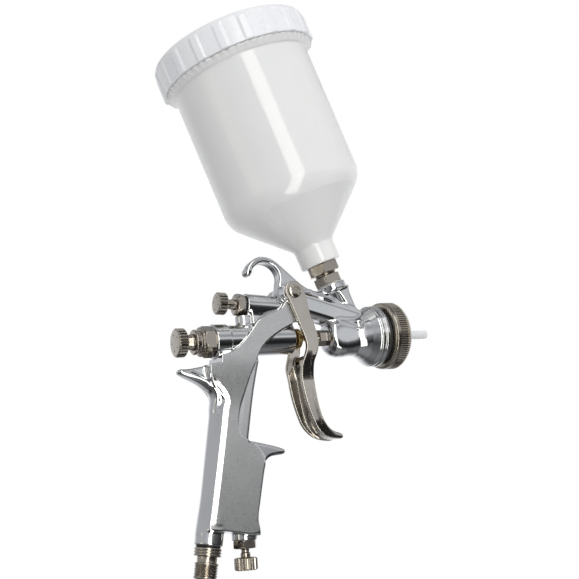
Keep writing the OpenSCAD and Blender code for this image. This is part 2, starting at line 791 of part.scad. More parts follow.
module cup_nut() {
    thread_from = fitting_from + 1 + move_gap;
    color(nickel) difference() {
        union() {
            on_cup(thread_from) cylinder(r = nut_thread_r, h = nut_from - thread_from + 0.5);
            on_cup(nut_from) hexagon(nut_hex_r, nut_len);
            on_cup(nut_from + nut_len - 0.5) cylinder(r = nut_shank_r,
                h = nut_shank_top - nut_from - nut_len + 0.5);
        }
        on_cup(thread_from - 1) cylinder(r = nut_bore_r, h = nut_shank_top - thread_from + 2);
    }
}

module cup() {
    shoulder_out = [for (i = [0 : 6]) let (q = 1 - i / 6)
        [cup_r - 4 * q * q, side_from - 11.2 * q]];
    shoulder_in = [for (i = [6 : -1 : 0]) shoulder_out[i] - [cup_wall, -0.6]];
    color(milk) on_cup(0) rotate_extrude() polygon(concat(
        [[nut_shank_r + seat_gap, neck_from], [neck_r - 0.3, neck_from], [neck_r, neck_from + 1],
            [neck_r + 0.1, cone_from - 1], [cone_r, cone_from]],
        shoulder_out,
        [[cup_r, lid_bottom - 4.4], [thread_crest_r + 1.2, lid_bottom - 3.8],
            [thread_crest_r + 1.2, lid_bottom - 0.6], [cup_r, lid_bottom - 0.3], [cup_r, lid_bottom + 2],
            [thread_crest_r, lid_bottom + 3], [thread_crest_r, rim - 1.5], [thread_crest_r - 1.2, rim],
            [cup_r - cup_wall, rim]],
        shoulder_in,
        [[nut_shank_r + 1.5, cone_from + 1], [nut_shank_r + seat_gap, cone_from - 1]]));
}

module cup_filter() {
    foot = nut_shank_top + seat_gap;
    tall = 18;
    color(steel) difference() {
        union() {
            on_cup(foot) tube(nut_shank_r - 0.2, 4.4, 1);
            on_cup(foot) tube(5.2, 4.4, tall);
            on_cup(foot + tall - 0.8) cylinder(r = 5.2, h = 0.8);
        }
        for (i = [0 : 5]) on_cup(foot + 3) rotate([0, 0, i * 60]) translate([0, -0.9, 0])
            cube([8, 1.8, tall - 6]);
    }
}

module cup_lid() {
    color(milk) difference() {
        union() {
            on_cup(0) rotate_extrude() polygon([[0, lid_plate_under], [lid_in_r - 1.5, lid_plate_under],
                [lid_in_r, lid_plate_under - 1.5], [lid_in_r, lid_bottom], [lid_r, lid_bottom],
                [lid_r - 0.6, lid_top - 3], [lid_r - 1.4, lid_top - 0.8], [lid_r - 2.6, lid_top],
                [lid_r - 4, lid_top], [lid_r - 6, lid_plate_top], [0, lid_plate_top]]);
            for (i = [0 : lid_ribs - 1])
                on_cup(lid_bottom) rotate([0, 0, i * 360 / lid_ribs]) translate([lid_r - 0.6, 0, 0])
                    cylinder(r = rib_r, h = lid_h - 3);
        }
        on_cup(lid_plate_under - 1) cylinder(r = vent_r - 2, h = 6);
    }
}

module lid_gasket() {
    color([0.85, 0.85, 0.83]) on_cup(rim + 0.15) tube(thread_crest_r - 1.5, cup_r - cup_wall, gasket_t);
}

module vent_plug() {
    color(milk) {
        on_cup(lid_plate_top + 0.1) cylinder(r = vent_r, h = 1.8);
        on_cup(lid_plate_under - 1.5) cylinder(r = vent_r - 2 - run_fit, h = lid_wall + 2);
    }
}

gun_body();
air_inlet();
inlet_seal();
regulator_body();
regulator_stem();
regulator_knob();
regulator_o_ring();
fan_valve_body();
fan_valve_stem();
fan_knob();
fan_valve_o_ring();
needle_bushing();
fluid_knob();
needle_spring();
needle();
air_valve_stem();
air_valve_washer();
air_valve_seat();
air_valve_spring();
packing_nut();
packing_seal();
fluid_nozzle();
air_distributor();
air_cap();
air_cap_ring();
air_cap_seal();
tip_protector();
trigger();
trigger_pin();
trigger_pin_screw();
inlet_fitting();
fitting_washer();
cup_nut();
cup();
cup_filter();
cup_lid();
lid_gasket();
vent_plug();
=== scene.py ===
import json
import math
import bpy
import numpy as np
from mathutils import Matrix, Vector


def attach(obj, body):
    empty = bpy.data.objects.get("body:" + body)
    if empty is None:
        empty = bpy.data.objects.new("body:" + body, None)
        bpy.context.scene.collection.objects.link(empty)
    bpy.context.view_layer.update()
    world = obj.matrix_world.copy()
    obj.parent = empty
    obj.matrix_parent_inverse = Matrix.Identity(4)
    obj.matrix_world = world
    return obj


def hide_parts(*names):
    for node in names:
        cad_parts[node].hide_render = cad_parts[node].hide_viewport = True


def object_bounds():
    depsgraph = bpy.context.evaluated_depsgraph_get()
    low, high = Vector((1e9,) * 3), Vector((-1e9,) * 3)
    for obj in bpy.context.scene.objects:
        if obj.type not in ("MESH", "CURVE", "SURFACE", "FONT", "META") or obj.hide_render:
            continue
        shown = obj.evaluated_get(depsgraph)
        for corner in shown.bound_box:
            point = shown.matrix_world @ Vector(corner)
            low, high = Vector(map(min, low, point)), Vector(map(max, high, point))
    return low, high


# Gravity-feed spray gun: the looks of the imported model.
# Shapes are worked out in millimetres in the gun frame (X along the needle's axis, Z up, zero at
# the station that the sizes count from) or along a piece's own axis, and become metres at the end.

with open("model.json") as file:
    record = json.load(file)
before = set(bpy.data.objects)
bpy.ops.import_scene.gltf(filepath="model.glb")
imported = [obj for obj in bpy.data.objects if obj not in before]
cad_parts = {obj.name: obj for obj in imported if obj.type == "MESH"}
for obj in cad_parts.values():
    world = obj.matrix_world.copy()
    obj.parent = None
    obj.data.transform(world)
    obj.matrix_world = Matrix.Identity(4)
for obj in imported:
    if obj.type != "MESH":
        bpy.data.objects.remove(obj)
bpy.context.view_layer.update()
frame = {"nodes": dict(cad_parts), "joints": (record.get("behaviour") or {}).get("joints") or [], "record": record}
record = frame["record"]

# ---------- frames, from the record ----------

joint = {j["name"]: j for j in frame["joints"]}
mount = {m["name"]: m for m in record["mounts"]}
PIVOT_X, PIVOT_Z = 7.0, 26.6
GUN = 1000 * np.array(joint["trigger_pull"]["pos_m"]) - (PIVOT_X, 0, PIVOT_Z)
CUP_STATION = 51.0


def placed(origin, direction):
    """A frame whose +Z runs along direction: its origin and three axes, in millimetres."""
    z = np.array(direction, float) / np.linalg.norm(direction)
    y = np.array([0.0, 1.0, 0.0])
    return np.array(origin, float), np.stack([np.cross(y, z), y, z])


NEEDLE = placed(GUN, (1, 0, 0))
FAN, REGULATOR = (placed(1000 * np.array(joint[name]["pos_m"]), joint[name]["axis"])
                  for name in ("fan_knob_turn", "air_regulator_turn"))
CUP = placed(GUN + (CUP_STATION, 0, 0), joint["cup_lift_off"]["axis"])
GRIP = placed(1000 * np.array(mount["air_inlet"]["pos_m"]), -np.array(mount["air_inlet"]["axis"]))
GRIP_X, GRIP_Z = (GRIP[0] - GUN)[[0, 2]]
LEAN_SIN, LEAN_COS = GRIP[1][2][[0, 2]]


def from_grip(*points):
    """Points given as (forwards, upwards) in the leaning grip, as gun-frame points."""
    return [(GRIP_X + LEAN_COS * u + LEAN_SIN * s, GRIP_Z - LEAN_SIN * u + LEAN_COS * s)
            for u, s in points]


# ---------- sizes that pieces share, in millimetres, from the solids or within 0.1 of them ----------

SEAT_GAP = 0.05
TUBE_R, TUBE_BACK, TUBE_FRONT = 9.2, -44.5, 6.6
CHAMBER_R, CHAMBER_BACK = 7.0, -36.0
FAN_TUBE_R, FAN_TUBE_BACK, FAN_TUBE_FRONT = 7.0, 18.1, 47
POST_X, POST_R = -22.9, 4.8
BAND_HALF, PLATE_HALF = 9.8, 8.0
HOOK_X, HOOK_Z, HOOK_R, HOOK_OUTER, HOOK_HALF = -6.2, 38.2, 9.3, 12.9, 4.0
PIVOT_BOSS_R, PIVOT_BOSS_HALF, PIN_R, PIN_HEAD_R = 6.3, 10.2, 2.5, 4.05
ARM_OUT, ARM_T = 13.0, 2.4
HEAD_BACK, BELL_R, BELL_FRONT, SPIGOT_R, SPIGOT_FRONT = 31.5, 19.2, 67.5, 15.2, 76.3
FLANGE_R, FLANGE_BACK, FLANGE_TOP = 9.5, 31, 35.4
NEEDLE_R, NEEDLE_BORE, SLEEVE_R = 1.2, 1.28, 3.3
KNOB_R, KNOB_BACK, BUSHING_HEX_R = 8.3, -67.1, 9.4
RING_R, RING_BACK, RING_FRONT = 21.2, 70.7, 83.3
THREAD_R, COLLAR_R = 6.58, 7.5
CUP_R = 45.0
LID_R, LID_IN, LID_RIBS = 50.75, 47.65, 20

# ---------- distance fields, for the cast and pressed pieces ----------

def smin(a, b, k):
    """The nearer of two distances, blended over a width of k where they are alike."""
    h = np.maximum(k - np.abs(a - b), 0) / k
    return np.minimum(a, b) - h * h * k / 4


def smax(a, b, k):
    """The farther of two distances, blended the same way: for cuts."""
    return -smin(-a, -b, k)


def ease(a, b, t):
    """0 at a, 1 at b, smooth between them. a may be the larger."""
    t = np.clip((t - a) / (b - a), 0, 1)
    return t * t * (3 - 2 * t)


def both(d, e, edge):
    """Where two distances are both negative, with its outer edge rounded."""
    d, e = d + edge, e + edge
    return np.minimum(np.maximum(d, e), 0) + np.hypot(np.maximum(d, 0), np.maximum(e, 0)) - edge


class Outline:
    """Distance to a closed outline in a plane, kept on a fine grid. Corners are cut `smooth` times,
    and what is left is blurred over `soft` millimetres."""

    def __init__(self, points, smooth=2, soft=0.4, pitch=0.3, margin=10):
        p = np.array(points, float)
        for _ in range(smooth):
            q = np.roll(p, -1, 0)
            p = np.stack([0.75 * p + 0.25 * q, 0.25 * p + 0.75 * q], 1).reshape(-1, 2)
        self.low = p.min(0) - margin
        self.pitch = pitch
        count = np.ceil((p.max(0) + margin - self.low) / pitch).astype(int) + 1
        x = (self.low[0] + pitch * np.arange(count[0]))[:, None]
        z = (self.low[1] + pitch * np.arange(count[1]))[None, :]
        far = np.full(tuple(count), 1e9)
        inside = np.zeros(tuple(count), bool)
        for (ax, az), (bx, bz) in zip(p, np.roll(p, -1, 0)):
            ex, ez = bx - ax, bz - az
            wx, wz = x - ax, z - az
            t = np.clip((wx * ex + wz * ez) / (ex * ex + ez * ez + 1e-12), 0, 1)
            far = np.minimum(far, (wx - ex * t) ** 2 + (wz - ez * t) ** 2)
            side = ex * wz - ez * wx
            inside ^= ((az <= z) & (bz > z) & (side > 0)) | ((az > z) & (bz <= z) & (side < 0))
        g = np.where(inside, -1, 1) * np.sqrt(far)
        if soft:
            reach = int(math.ceil(2.5 * soft / pitch))
            w = np.exp(-0.5 * (np.arange(-reach, reach + 1) * pitch / soft) ** 2)
            w /= w.sum()
            for axis in (0, 1):
                padded = np.pad(g, [(reach, reach) if a == axis else (0, 0) for a in (0, 1)], "edge")
                g = sum(w[i] * np.take(padded, range(i, i + g.shape[axis]), axis) for i in range(len(w)))
        self.grid = g.astype(np.float32)

    def __call__(self, x, z):
        n, m = self.grid.shape
        u, v = np.broadcast_arrays((x - self.low[0]) / self.pitch, (z - self.low[1]) / self.pitch)
        a, b = np.clip(u, 0, n - 1.001), np.clip(v, 0, m - 1.001)
        i, k = a.astype(int), b.astype(int)
        f, h = a - i, b - k
        g = self.grid
        below = g[i, k] * (1 - f) + g[i + 1, k] * f
        above = g[i, k + 1] * (1 - f) + g[i + 1, k + 1] * f
        return below * (1 - h) + above * h + self.pitch * np.hypot(u - a, v - b)


def rod(x, y, z, a, b, ra, rb):
    """A round bar with ball ends between two points, its radius changing along it."""
    a, b = np.array(a, float), np.array(b, float)
    e = b - a
    t = np.clip(((x - a[0]) * e[0] + (y - a[1]) * e[1] + (z - a[2]) * e[2]) / (e @ e), 0, 1)
    return np.sqrt((x - a[0] - e[0] * t) ** 2 + (y - a[1] - e[1] * t) ** 2
                   + (z - a[2] - e[2] * t) ** 2) - (ra + (rb - ra) * t)


def drum(radius, along, r, start, end, edge=0.4):
    """A flat-ended round bar: radius and along are the distances from and along its axis."""
    return both(radius - r, np.abs(along - (start + end) / 2) - (end - start) / 2, edge)


def axis_at(where):
    """Gives a function that says how far gun-frame points lie from a frame's axis, and along it."""
    origin, along = (where[0] - GUN)[[0, 2]], where[1][2][[0, 2]]

    def at(x, y, z):
        dx, dz = x - origin[0], z - origin[1]
        return np.hypot(y, dx * along[1] - dz * along[0]), dx * along[0] + dz * along[1]
    return at


def contour(field, low, pitch, size):
    """The zero surface of a distance field, as points, quads and normals (surface nets)."""
    axes = [low[i] + pitch * np.arange(int(math.ceil(size[i] / pitch)) + 1) for i in range(3)]
    x, y, z = axes[0][:, None, None], axes[1][None, :, None], axes[2][None, None, :]
    row = (len(axes[1]), len(axes[2]))
    step = max(1, int(4e6 // (row[0] * row[1])))  # so many rows at a time keep the memory small
    slabs = [x[i:i + step] for i in range(0, len(x), step)]
    f = np.concatenate([np.broadcast_to(field(slab, y, z), (len(slab), *row)) for slab in slabs])
    f = f.astype(np.float32)
    solid = f < 0
    cells = tuple(n - 1 for n in f.shape)
    window = lambda v, d: v[d[0]:d[0] + cells[0], d[1]:d[1] + cells[1], d[2]:d[2] + cells[2]]
    corners = [(i, j, k) for i in (0, 1) for j in (0, 1) for k in (0, 1)]
    count = sum(window(solid, c).astype(np.int8) for c in corners)
    active = (count > 0) & (count < 8)
    number = np.full(cells, -1, np.int64)
    number[active] = np.arange(active.sum())
    at = np.argwhere(active)
    total, hits = np.zeros((len(at), 3)), np.zeros(len(at))
    for c in corners:
        for axis in range(3):
            if c[axis]:
                continue
            e = tuple(v + (1 if n == axis else 0) for n, v in enumerate(c))
            fa, fb = window(f, c)[active], window(f, e)[active]
            cross = (fa < 0) != (fb < 0)
            t = fa / np.where(cross, fa - fb, 1)
            p = np.array(c, float)[None, :].repeat(len(at), 0)
            p[:, axis] += t
            total[cross] += p[cross]
            hits[cross] += 1
    points = np.array(low) + pitch * (at + total / hits[:, None])
    quads = []
    for axis in range(3):
        b, c = [(1, 2), (2, 0), (0, 1)][axis]
        a0 = np.take(solid, range(0, solid.shape[axis] - 1), axis)
        a1 = np.take(solid, range(1, solid.shape[axis]), axis)
        edge = a0 != a1
        where = np.argwhere(edge)
        where = where[(where[:, b] > 0) & (where[:, b] < cells[b])]
        where = where[(where[:, c] > 0) & (where[:, c] < cells[c])]
        ring = []
        for db, dc in ((1, 1), (0, 1), (0, 0), (1, 0)):
            q = where.copy()
            q[:, b] -= db
            q[:, c] -= dc
            ring.append(number[tuple(q.T)])
        ring = np.stack(ring, 1)
        flip = ~a0[tuple(where.T)]
        ring[flip] = ring[flip][:, ::-1]
        quads.append(ring)
    quads = np.concatenate(quads)

    def slope(p, eps):
        g = np.stack([field(*(p + eps * np.eye(3)[i]).T) - field(*(p - eps * np.eye(3)[i]).T)
                      for i in range(3)], 1)
        return g / (np.linalg.norm(g, axis=1, keepdims=True) + 1e-9)

    for _ in range(2):
        n = slope(points, 0.1)
        points = points - np.clip(field(*points.T), -pitch / 2, pitch / 2)[:, None] * n * 0.9
    return points, quads, slope(points, 0.16)


# ---------- meshes ----------

def mesh_object(name, points_mm, faces, material, normals=None, sharp=32, attributes=()):
    """A smooth-shaded mesh. Without given normals, edges over `sharp` degrees stay sharp."""
    mesh = bpy.data.meshes.new(name)
    mesh.from_pydata((np.asarray(points_mm) / 1000).tolist(), [], [tuple(int(i) for i in f) for f in faces])
    mesh.materials.append(material)
    mesh.polygons.foreach_set("use_smooth", [True] * len(mesh.polygons))
    for label, values in attributes:
        mesh.attributes.new(label, "FLOAT", "POINT").data.foreach_set("value", np.asarray(values, np.float32))
    if normals is None:
        mesh.set_sharp_from_angle(angle=math.radians(sharp))
    else:
        mesh.normals_split_custom_set_from_vertices(normals.tolist())
    mesh.update()
    obj = bpy.data.objects.new(name, mesh)
    bpy.context.scene.collection.objects.link(obj)
    return obj


def soften(profile, r, closed=False):
    """A profile with each corner rounded by up to r."""
    p = [np.array(q, float) for q in profile]
    out = []
    for i, q in enumerate(p):
        if not closed and i in (0, len(p) - 1):
            out.append(q)
            continue
        a, b = p[i - 1] - q, p[(i + 1) % len(p)] - q
        la, lb = np.linalg.norm(a), np.linalg.norm(b)
        if min(la, lb) < 1e-6 or a @ b < -0.985 * la * lb:
            out.append(q)
            continue
        cut = min(r, 0.45 * la, 0.45 * lb)
        s, e = q + a / la * cut, q + b / lb * cut
        out += [(1 - t) ** 2 * s + 2 * t * (1 - t) * q + t * t * e for t in np.linspace(0, 1, 4)]
    return np.array(out)


def turned(name, where, profile, material, round_off=0.3, steps=72, section=None, closed=False, sharp=32):
    """A turned piece. The profile runs (distance along the axis, radius); section(angle, along, r)
    gives the radius where it isn't round. A closed profile goes round a bore."""
    p = soften(profile, round_off, closed)
    angle = np.arange(steps) * 2 * math.pi / steps
    r = np.broadcast_to(p[:, 1][:, None], (len(p), steps)).copy()
    if section:
        r = section(angle[None, :], p[:, 0][:, None], r)
    origin, axes = where
    local = np.stack([r * np.cos(angle), r * np.sin(angle), np.broadcast_to(p[:, 0][:, None], r.shape)], -1)
    points = origin + local.reshape(-1, 3) @ axes
    ring = np.arange(len(p) * steps).reshape(len(p), steps)
    faces = []
    for i in range(len(p) if closed else len(p) - 1):
        a, b = ring[i], ring[(i + 1) % len(p)]
        faces += np.stack([a, np.roll(a, -1), np.roll(b, -1), b], 1).tolist()
    if not closed:
        faces += [ring[0][::-1].tolist(), ring[-1].tolist()]
    area = sum(a[0] * b[1] - b[0] * a[1] for a, b in zip(p, np.roll(p, -1, 0)))
    inside_out = area < 0 if closed else p[0][0] > p[-1][0]
    if inside_out:
        faces = [f[::-1] for f in faces]
    return mesh_object(name, points, faces, material, sharp=sharp)


def hexed(corner, inner, turn=0.0):
    """Hexagon with the given corner radius; what is narrower than inner stays round."""
    flat = corner * math.cos(math.pi / 6)
    def section(t, d, r):
        h = flat / np.cos((t + turn) % (math.pi / 3) - math.pi / 6)
        return np.where(r > inner, np.minimum(r, h), r)
    return section


def fluted(outer, count, depth, start, end, flat=0.45):
    """Straight grooves round a rim. flat is the share of the pitch that stays at full radius."""
    def section(t, d, r):
        wave = np.clip((np.cos(count * t) + 1) / 2 - flat * 0.5, 0, 1) / (1 - flat * 0.5)
        g = depth * wave ** 0.6 * ((d > start) & (d < end))
        return np.where(r > outer - depth, np.minimum(r, outer - g), r)
    return section


def threaded(major, pitch, depth, start, end):
    """A V thread cut into a stretch, running out at both ends."""
    def section(t, d, r):
        phase = (d / pitch + t / (2 * math.pi)) % 1
        cut = depth * np.abs(2 * phase - 1) * ease(start, start + pitch / 2, d) * ease(end, end - pitch, d)
        return np.where((r > major - 0.05) & (d > start) & (d < end), r - cut, r)
    return section


def rings(start, end, r, pitch=0.16):
    """Profile points close together along a straight stretch, for threads."""
    return [(d, r) for d in np.linspace(start, end, int((end - start) / pitch) + 1)]


def coil(name, where, start, end, radius, wire, turns, material):
    """A round-wire spring with closed, flattened last turns."""
    along, around = int(turns * 40), 12
    t = np.linspace(0, 1, along + 1)
    lift = np.interp(t, [0, 1 / turns, 1 - 1 / turns, 1], [0, 0.25 / turns, 1 - 0.25 / turns, 1])
    a = t * turns * 2 * math.pi
    height = start + wire + (end - start - 2 * wire) * lift
    mid = np.stack([radius * np.cos(a), radius * np.sin(a), height], -1)
    out = np.stack([np.cos(a), np.sin(a), 0 * a], -1)
    b = np.arange(around) * 2 * math.pi / around
    local = mid[:, None, :] + wire * (np.cos(b)[None, :, None] * out[:, None, :]
                                      + np.sin(b)[None, :, None] * np.array([0, 0, 1.0]))
    points = where[0] + local.reshape(-1, 3) @ where[1]
    ring = np.arange((along + 1) * around).reshape(along + 1, around)
    faces = []
    for i in range(along):
        p, q = ring[i], ring[i + 1]
        faces += np.stack([p, q, np.roll(q, -1), np.roll(p, -1)], 1).tolist()
    faces += [ring[0].tolist(), ring[-1][::-1].tolist()]
    return mesh_object(name, points, faces, material, sharp=50)


def fit_out(obj, body, slot, *nodes):
    """Says what a piece moves with and hides the CAD nodes it stands for. slot, the finish it would take, is not
    used.
    """
    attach(obj, body)
    if nodes:
        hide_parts(*nodes)


# ---------- materials ----------

class Graph:
    """Short ways to add nodes to the tree of a material or of the world."""

    def __init__(self, tree):
        self.nodes, self.links = tree.nodes, tree.links

    def noise(self, scale, detail=4, stretch=None):
        """Noise in the object's own space. stretch is the scale and rotation of a mapping."""
        source = self.nodes.new("ShaderNodeTexCoord").outputs["Object"]
        if stretch:
            mapping = self.nodes.new("ShaderNodeMapping")
            mapping.inputs["Scale"].default_value = stretch[0]
            mapping.inputs["Rotation"].default_value = stretch[1]
            self.links.new(source, mapping.inputs["Vector"])
            source = mapping.outputs["Vector"]
        texture = self.nodes.new("ShaderNodeTexNoise")
        texture.inputs["Scale"].default_value = scale
        texture.inputs["Detail"].default_value = detail
        texture.inputs["Roughness"].default_value = 0.55
        self.links.new(source, texture.inputs["Vector"])
        return texture.outputs["Fac"]

    def spread(self, source, low, high, start=0.3, end=0.7, curve="LINEAR"):
        """Map start..end of the source to low..high. The defaults fit a noise."""
        m = self.nodes.new("ShaderNodeMapRange")
        m.interpolation_type = curve
        for key, value in (("From Min", start), ("From Max", end), ("To Min", low), ("To Max", high)):
            m.inputs[key].default_value = value
        self.links.new(source, m.inputs["Value"])
        return m.outputs["Result"]

    def times(self, a, b):
        m = self.nodes.new("ShaderNodeMath")
        m.operation = "MULTIPLY"
        self.links.new(a, m.inputs[0])
        self.links.new(b, m.inputs[1])
        return m.outputs["Value"]

    def mix(self, factor, a, b):
        """Between two plain values."""
        m = self.nodes.new("ShaderNodeMix")
        for key, source in (("Factor", factor), ("A", a), ("B", b)):
            self.links.new(source, m.inputs[key])
        return m.outputs["Result"]

    def blend(self, factor, a, b):
        """Between two colours, each given as three numbers or as a socket."""
        m = self.nodes.new("ShaderNodeMix")
        m.data_type = "RGBA"
        self.links.new(factor, m.inputs["Factor"])
        for socket, value in zip([i for i in m.inputs if i.type == "RGBA"], (a, b)):
            if isinstance(value, tuple):
                socket.default_value = (*value, 1)
            else:
                self.links.new(value, socket)
        return next(o for o in m.outputs if o.type == "RGBA")

    def worn_edges(self):
        """Near 1 on outer edges and near 0 elsewhere, broken up by a noise."""
        geometry = self.nodes.new("ShaderNodeNewGeometry")
        outer = self.spread(geometry.outputs["Pointiness"], 0, 1, 0.57, 0.68)
        return self.times(outer, self.spread(self.noise(400, 3), 0.6, 1))

    def bump(self, bsdf, height, strength, distance=0.0001):
        b = self.nodes.new("ShaderNodeBump")
        b.inputs["Strength"].default_value = strength
        b.inputs["Distance"].default_value = distance
        self.links.new(height, b.inputs["Height"])
        self.links.new(b.outputs["Normal"], bsdf.inputs["Normal"])


def shader(name):
    material = bpy.data.materials.new(name)
    material.use_nodes = True
    return material, Graph(material.node_tree), material.node_tree.nodes["Principled BSDF"]


def metal(name, colour, tint, rough, grain=900, bump=0.02, edge=None):
    """Plated or bare metal: slow tone changes, fine grain, and brighter worn edges."""
    material, g, bsdf = shader(name)
    bsdf.inputs["Metallic"].default_value = 1
    base = g.blend(g.spread(g.noise(60), 0, 1), colour, tint)
    edge = edge or tuple(min(1, c * 1.15) for c in colour)
    base = g.blend(g.spread(g.worn_edges(), 0, 0.35, 0, 1), base, edge)
    g.links.new(base, bsdf.inputs["Base Color"])
    g.links.new(g.spread(g.noise(240, 5), *rough), bsdf.inputs["Roughness"])
    g.bump(bsdf, g.noise(grain, 3), bump)
    return material


def plastic(name, colour, tint, rough, through=0.0, scatter=0.004, bump=0.02, grain=500):
    """Moulded plastic or rubber. through is how much light goes in, and scatter how far, in metres."""
    material, g, bsdf = shader(name)
    g.links.new(g.blend(g.spread(g.noise(35), 0, 1), colour, tint), bsdf.inputs["Base Color"])
    g.links.new(g.spread(g.noise(160, 5), *rough), bsdf.inputs["Roughness"])
    bsdf.inputs["Subsurface Weight"].default_value = through
    bsdf.inputs["Subsurface Radius"].default_value = (1, 1, 0.9)
    bsdf.inputs["Subsurface Scale"].default_value = scatter
    bsdf.inputs["IOR"].default_value = 1.55
    g.bump(bsdf, g.noise(grain, 3), bump)
    return material


def cast_chrome(name):
    """Mirror chrome, with satin where the casting's flat sides are left brushed."""
    material, g, bsdf = shader(name)
    bsdf.inputs["Metallic"].default_value = 1
    mask = g.nodes.new("ShaderNodeAttribute")
    mask.attribute_name = "satin"
    satin = mask.outputs["Fac"]
    mirror = g.blend(g.spread(g.noise(40), 0, 1), (0.62, 0.63, 0.645), (0.66, 0.665, 0.675))
    brushed = g.blend(g.spread(g.noise(90, 6), 0, 1), (0.64, 0.645, 0.64), (0.70, 0.705, 0.70))
    base = g.blend(g.worn_edges(), g.blend(satin, mirror, brushed), (0.80, 0.81, 0.83))
    g.links.new(base, bsdf.inputs["Base Color"])
    smooth = g.spread(g.noise(200, 5), 0.07, 0.13)
    dull = g.spread(g.noise(500, 6), 0.26, 0.33)
    g.links.new(g.mix(satin, smooth, dull), bsdf.inputs["Roughness"])
    scratches = g.noise(300, 2, stretch=((0.25, 1, 6), (0, 0.22, 0)))
    g.bump(bsdf, g.times(scratches, g.spread(satin, 0.12, 1, 0, 1)), 0.08, 0.00006)
    return material


chrome = cast_chrome("body_chrome")
nickel = metal("nickel", (0.40, 0.365, 0.32), (0.45, 0.41, 0.365), (0.14, 0.24), edge=(0.72, 0.66, 0.58))
ring_nickel = metal("ring_nickel", (0.43, 0.39, 0.335), (0.49, 0.445, 0.385), (0.16, 0.27),
                    edge=(0.70, 0.63, 0.54))
trigger_nickel = metal("trigger_nickel", (0.50, 0.465, 0.42), (0.55, 0.515, 0.47), (0.10, 0.19),
                       grain=600, edge=(0.74, 0.70, 0.64))
steel = metal("steel", (0.56, 0.56, 0.56), (0.62, 0.62, 0.61), (0.18, 0.3), bump=0.08)
spring_steel = metal("spring_steel", (0.42, 0.42, 0.41), (0.5, 0.49, 0.47), (0.25, 0.38), bump=0.1)
brass = metal("brass", (0.55, 0.40, 0.17), (0.62, 0.47, 0.23), (0.2, 0.33), bump=0.08)
# painted shade: a near-black finish for the flat discs that stand for the shade inside the knobs' dimples
dimple_shade_paint = metal("knob_painted_dimple_shade", (0.12, 0.10, 0.09), (0.16, 0.14, 0.12), (0.4, 0.5))
cup_plastic = plastic("cup_plastic", (0.84, 0.84, 0.83), (0.81, 0.815, 0.805), (0.08, 0.13),
                      through=0.35, scatter=0.006, bump=0.03, grain=260)
lid_plastic = plastic("lid_plastic", (0.84, 0.85, 0.875), (0.80, 0.81, 0.835), (0.24, 0.33),
                      through=0.2, scatter=0.003, bump=0.05, grain=300)
tip_white = plastic("tip_white", (0.78, 0.79, 0.80), (0.72, 0.73, 0.74), (0.3, 0.42), through=0.3)
seal_white = plastic("seal_white", (0.74, 0.73, 0.69), (0.68, 0.67, 0.62), (0.4, 0.55), through=0.1)
seal_black = plastic("seal_black", (0.02, 0.02, 0.022), (0.035, 0.035, 0.037), (0.42, 0.6), bump=0.2)

# ---------- body casting ----------

fan_axis, regulator_axis, cup_axis = axis_at(FAN), axis_at(REGULATOR), axis_at(CUP)


def arc(x, z, r, start, end, step):
    """Points along an arc, its angles in degrees from +X towards +Z."""
    return [(x + r * math.cos(a), z + r * math.sin(a)) for a in np.radians(np.arange(start, end, step))]


band_shape = Outline(
    [(-5.5, 15.4), (-12, 13.4), (-17.5, 10.4), (-23.1, 3.9), (-28.5, -2), (-34.5, -6.9), (-40.5, -8.8),
     (-43.4, -9.2), (-43.4, -9.2), (-43.6, -13.6), (-43.6, -13.6), (-51, -14.2), (-51, -14.2),
     (-51, -18.8), (-50, -25), (-45.6, -30.2), (-43.2, -35.0)]
    + from_grip((-2.6, 92), (-2.4, 80), (-2.8, 52), (-3.4, 31), (-3.4, 25.5), (-3.4, 25.5), (27.6, 25.5),
                (27.8, 25.5), (27.4, 29), (25.2, 34.5), (25.9, 44.6), (26.4, 56), (26.8, 62), (27.2, 66),
                (22, 72), (14.5, 74.8), (9.2, 78.2), (7.2, 84), (7.2, 93.5), (9.6, 103.6), (12.4, 115.5))
    + [(-22.7, -15.5), (-20.3, -10.3), (-16.4, -4.8), (-11.2, -0.6), (-3.3, 4), (4.2, 7.1),
       (8.6, 10), (10.5, 17), (9, 24), (2, 22), (-1, 17)], smooth=2, soft=0.35)
finger_shape = Outline(from_grip((0, 66), (16.4, 66), (16.4, 78), (16.7, 102), (17.8, 117.5), (18.6, 125),
                                 (14, 131), (2, 131), (0, 100)), smooth=1, soft=0.5)
spur_shape = Outline(from_grip((12, 74.5), (16.8, 76.7), (23, 76.5), (30, 76.2), (36.5, 75.6), (39.9, 74.9),
                               (40.3, 73.2), (38.8, 71.9), (34.6, 70.9), (30.4, 69.4), (28, 66), (27, 61.5),
                               (20, 60), (12, 66)), smooth=2, soft=0.3)
web_outline = Outline([(-19.5, 5), (12, 5), (12, 24), (-19.5, 21)], smooth=0, soft=0.3)
hook_body = Outline(
    arc(HOOK_X, HOOK_Z, HOOK_R, 166, -31, -14)
    + [(0.6, 28), (-1.2, 24.5), (-1.5, 18), (26, 16), (29, 27), (23.8, 29.8), (18.6, 32.8), (14.2, 36.6),
       (9.6, 41), (5, 45.2), (1.5, 48.3), (-2.3, 50.3)]
    + arc(HOOK_X, HOOK_Z, HOOK_OUTER, 94, 168, 14), smooth=1, soft=0.3)
crown_back = [(-67.4, -17.2), (-62.2, -19.9), (-57.5, -22.3), (-53.4, -24.9), (-50, -28), (-48.1, -31.4),
              (-48.0, -35.2)]
crown_front = [(-44.9, -30.4), (-47, -27), (-51, -23.6), (-55.4, -20.6), (-61, -17.6), (-66.6, -15.2)]
crown_shape = Outline(crown_back + from_grip((-6.6, 88), (-1.5, 88), (-2.5, 97)) + crown_front,
                      smooth=2, soft=0.3)
horn_web = Outline(crown_back[:5] + [(-44, -30), (-40, -24), (-40, -13.6), (-48.4, -13.9), (-66.2, -16.2)],
                   smooth=1, soft=0.3)
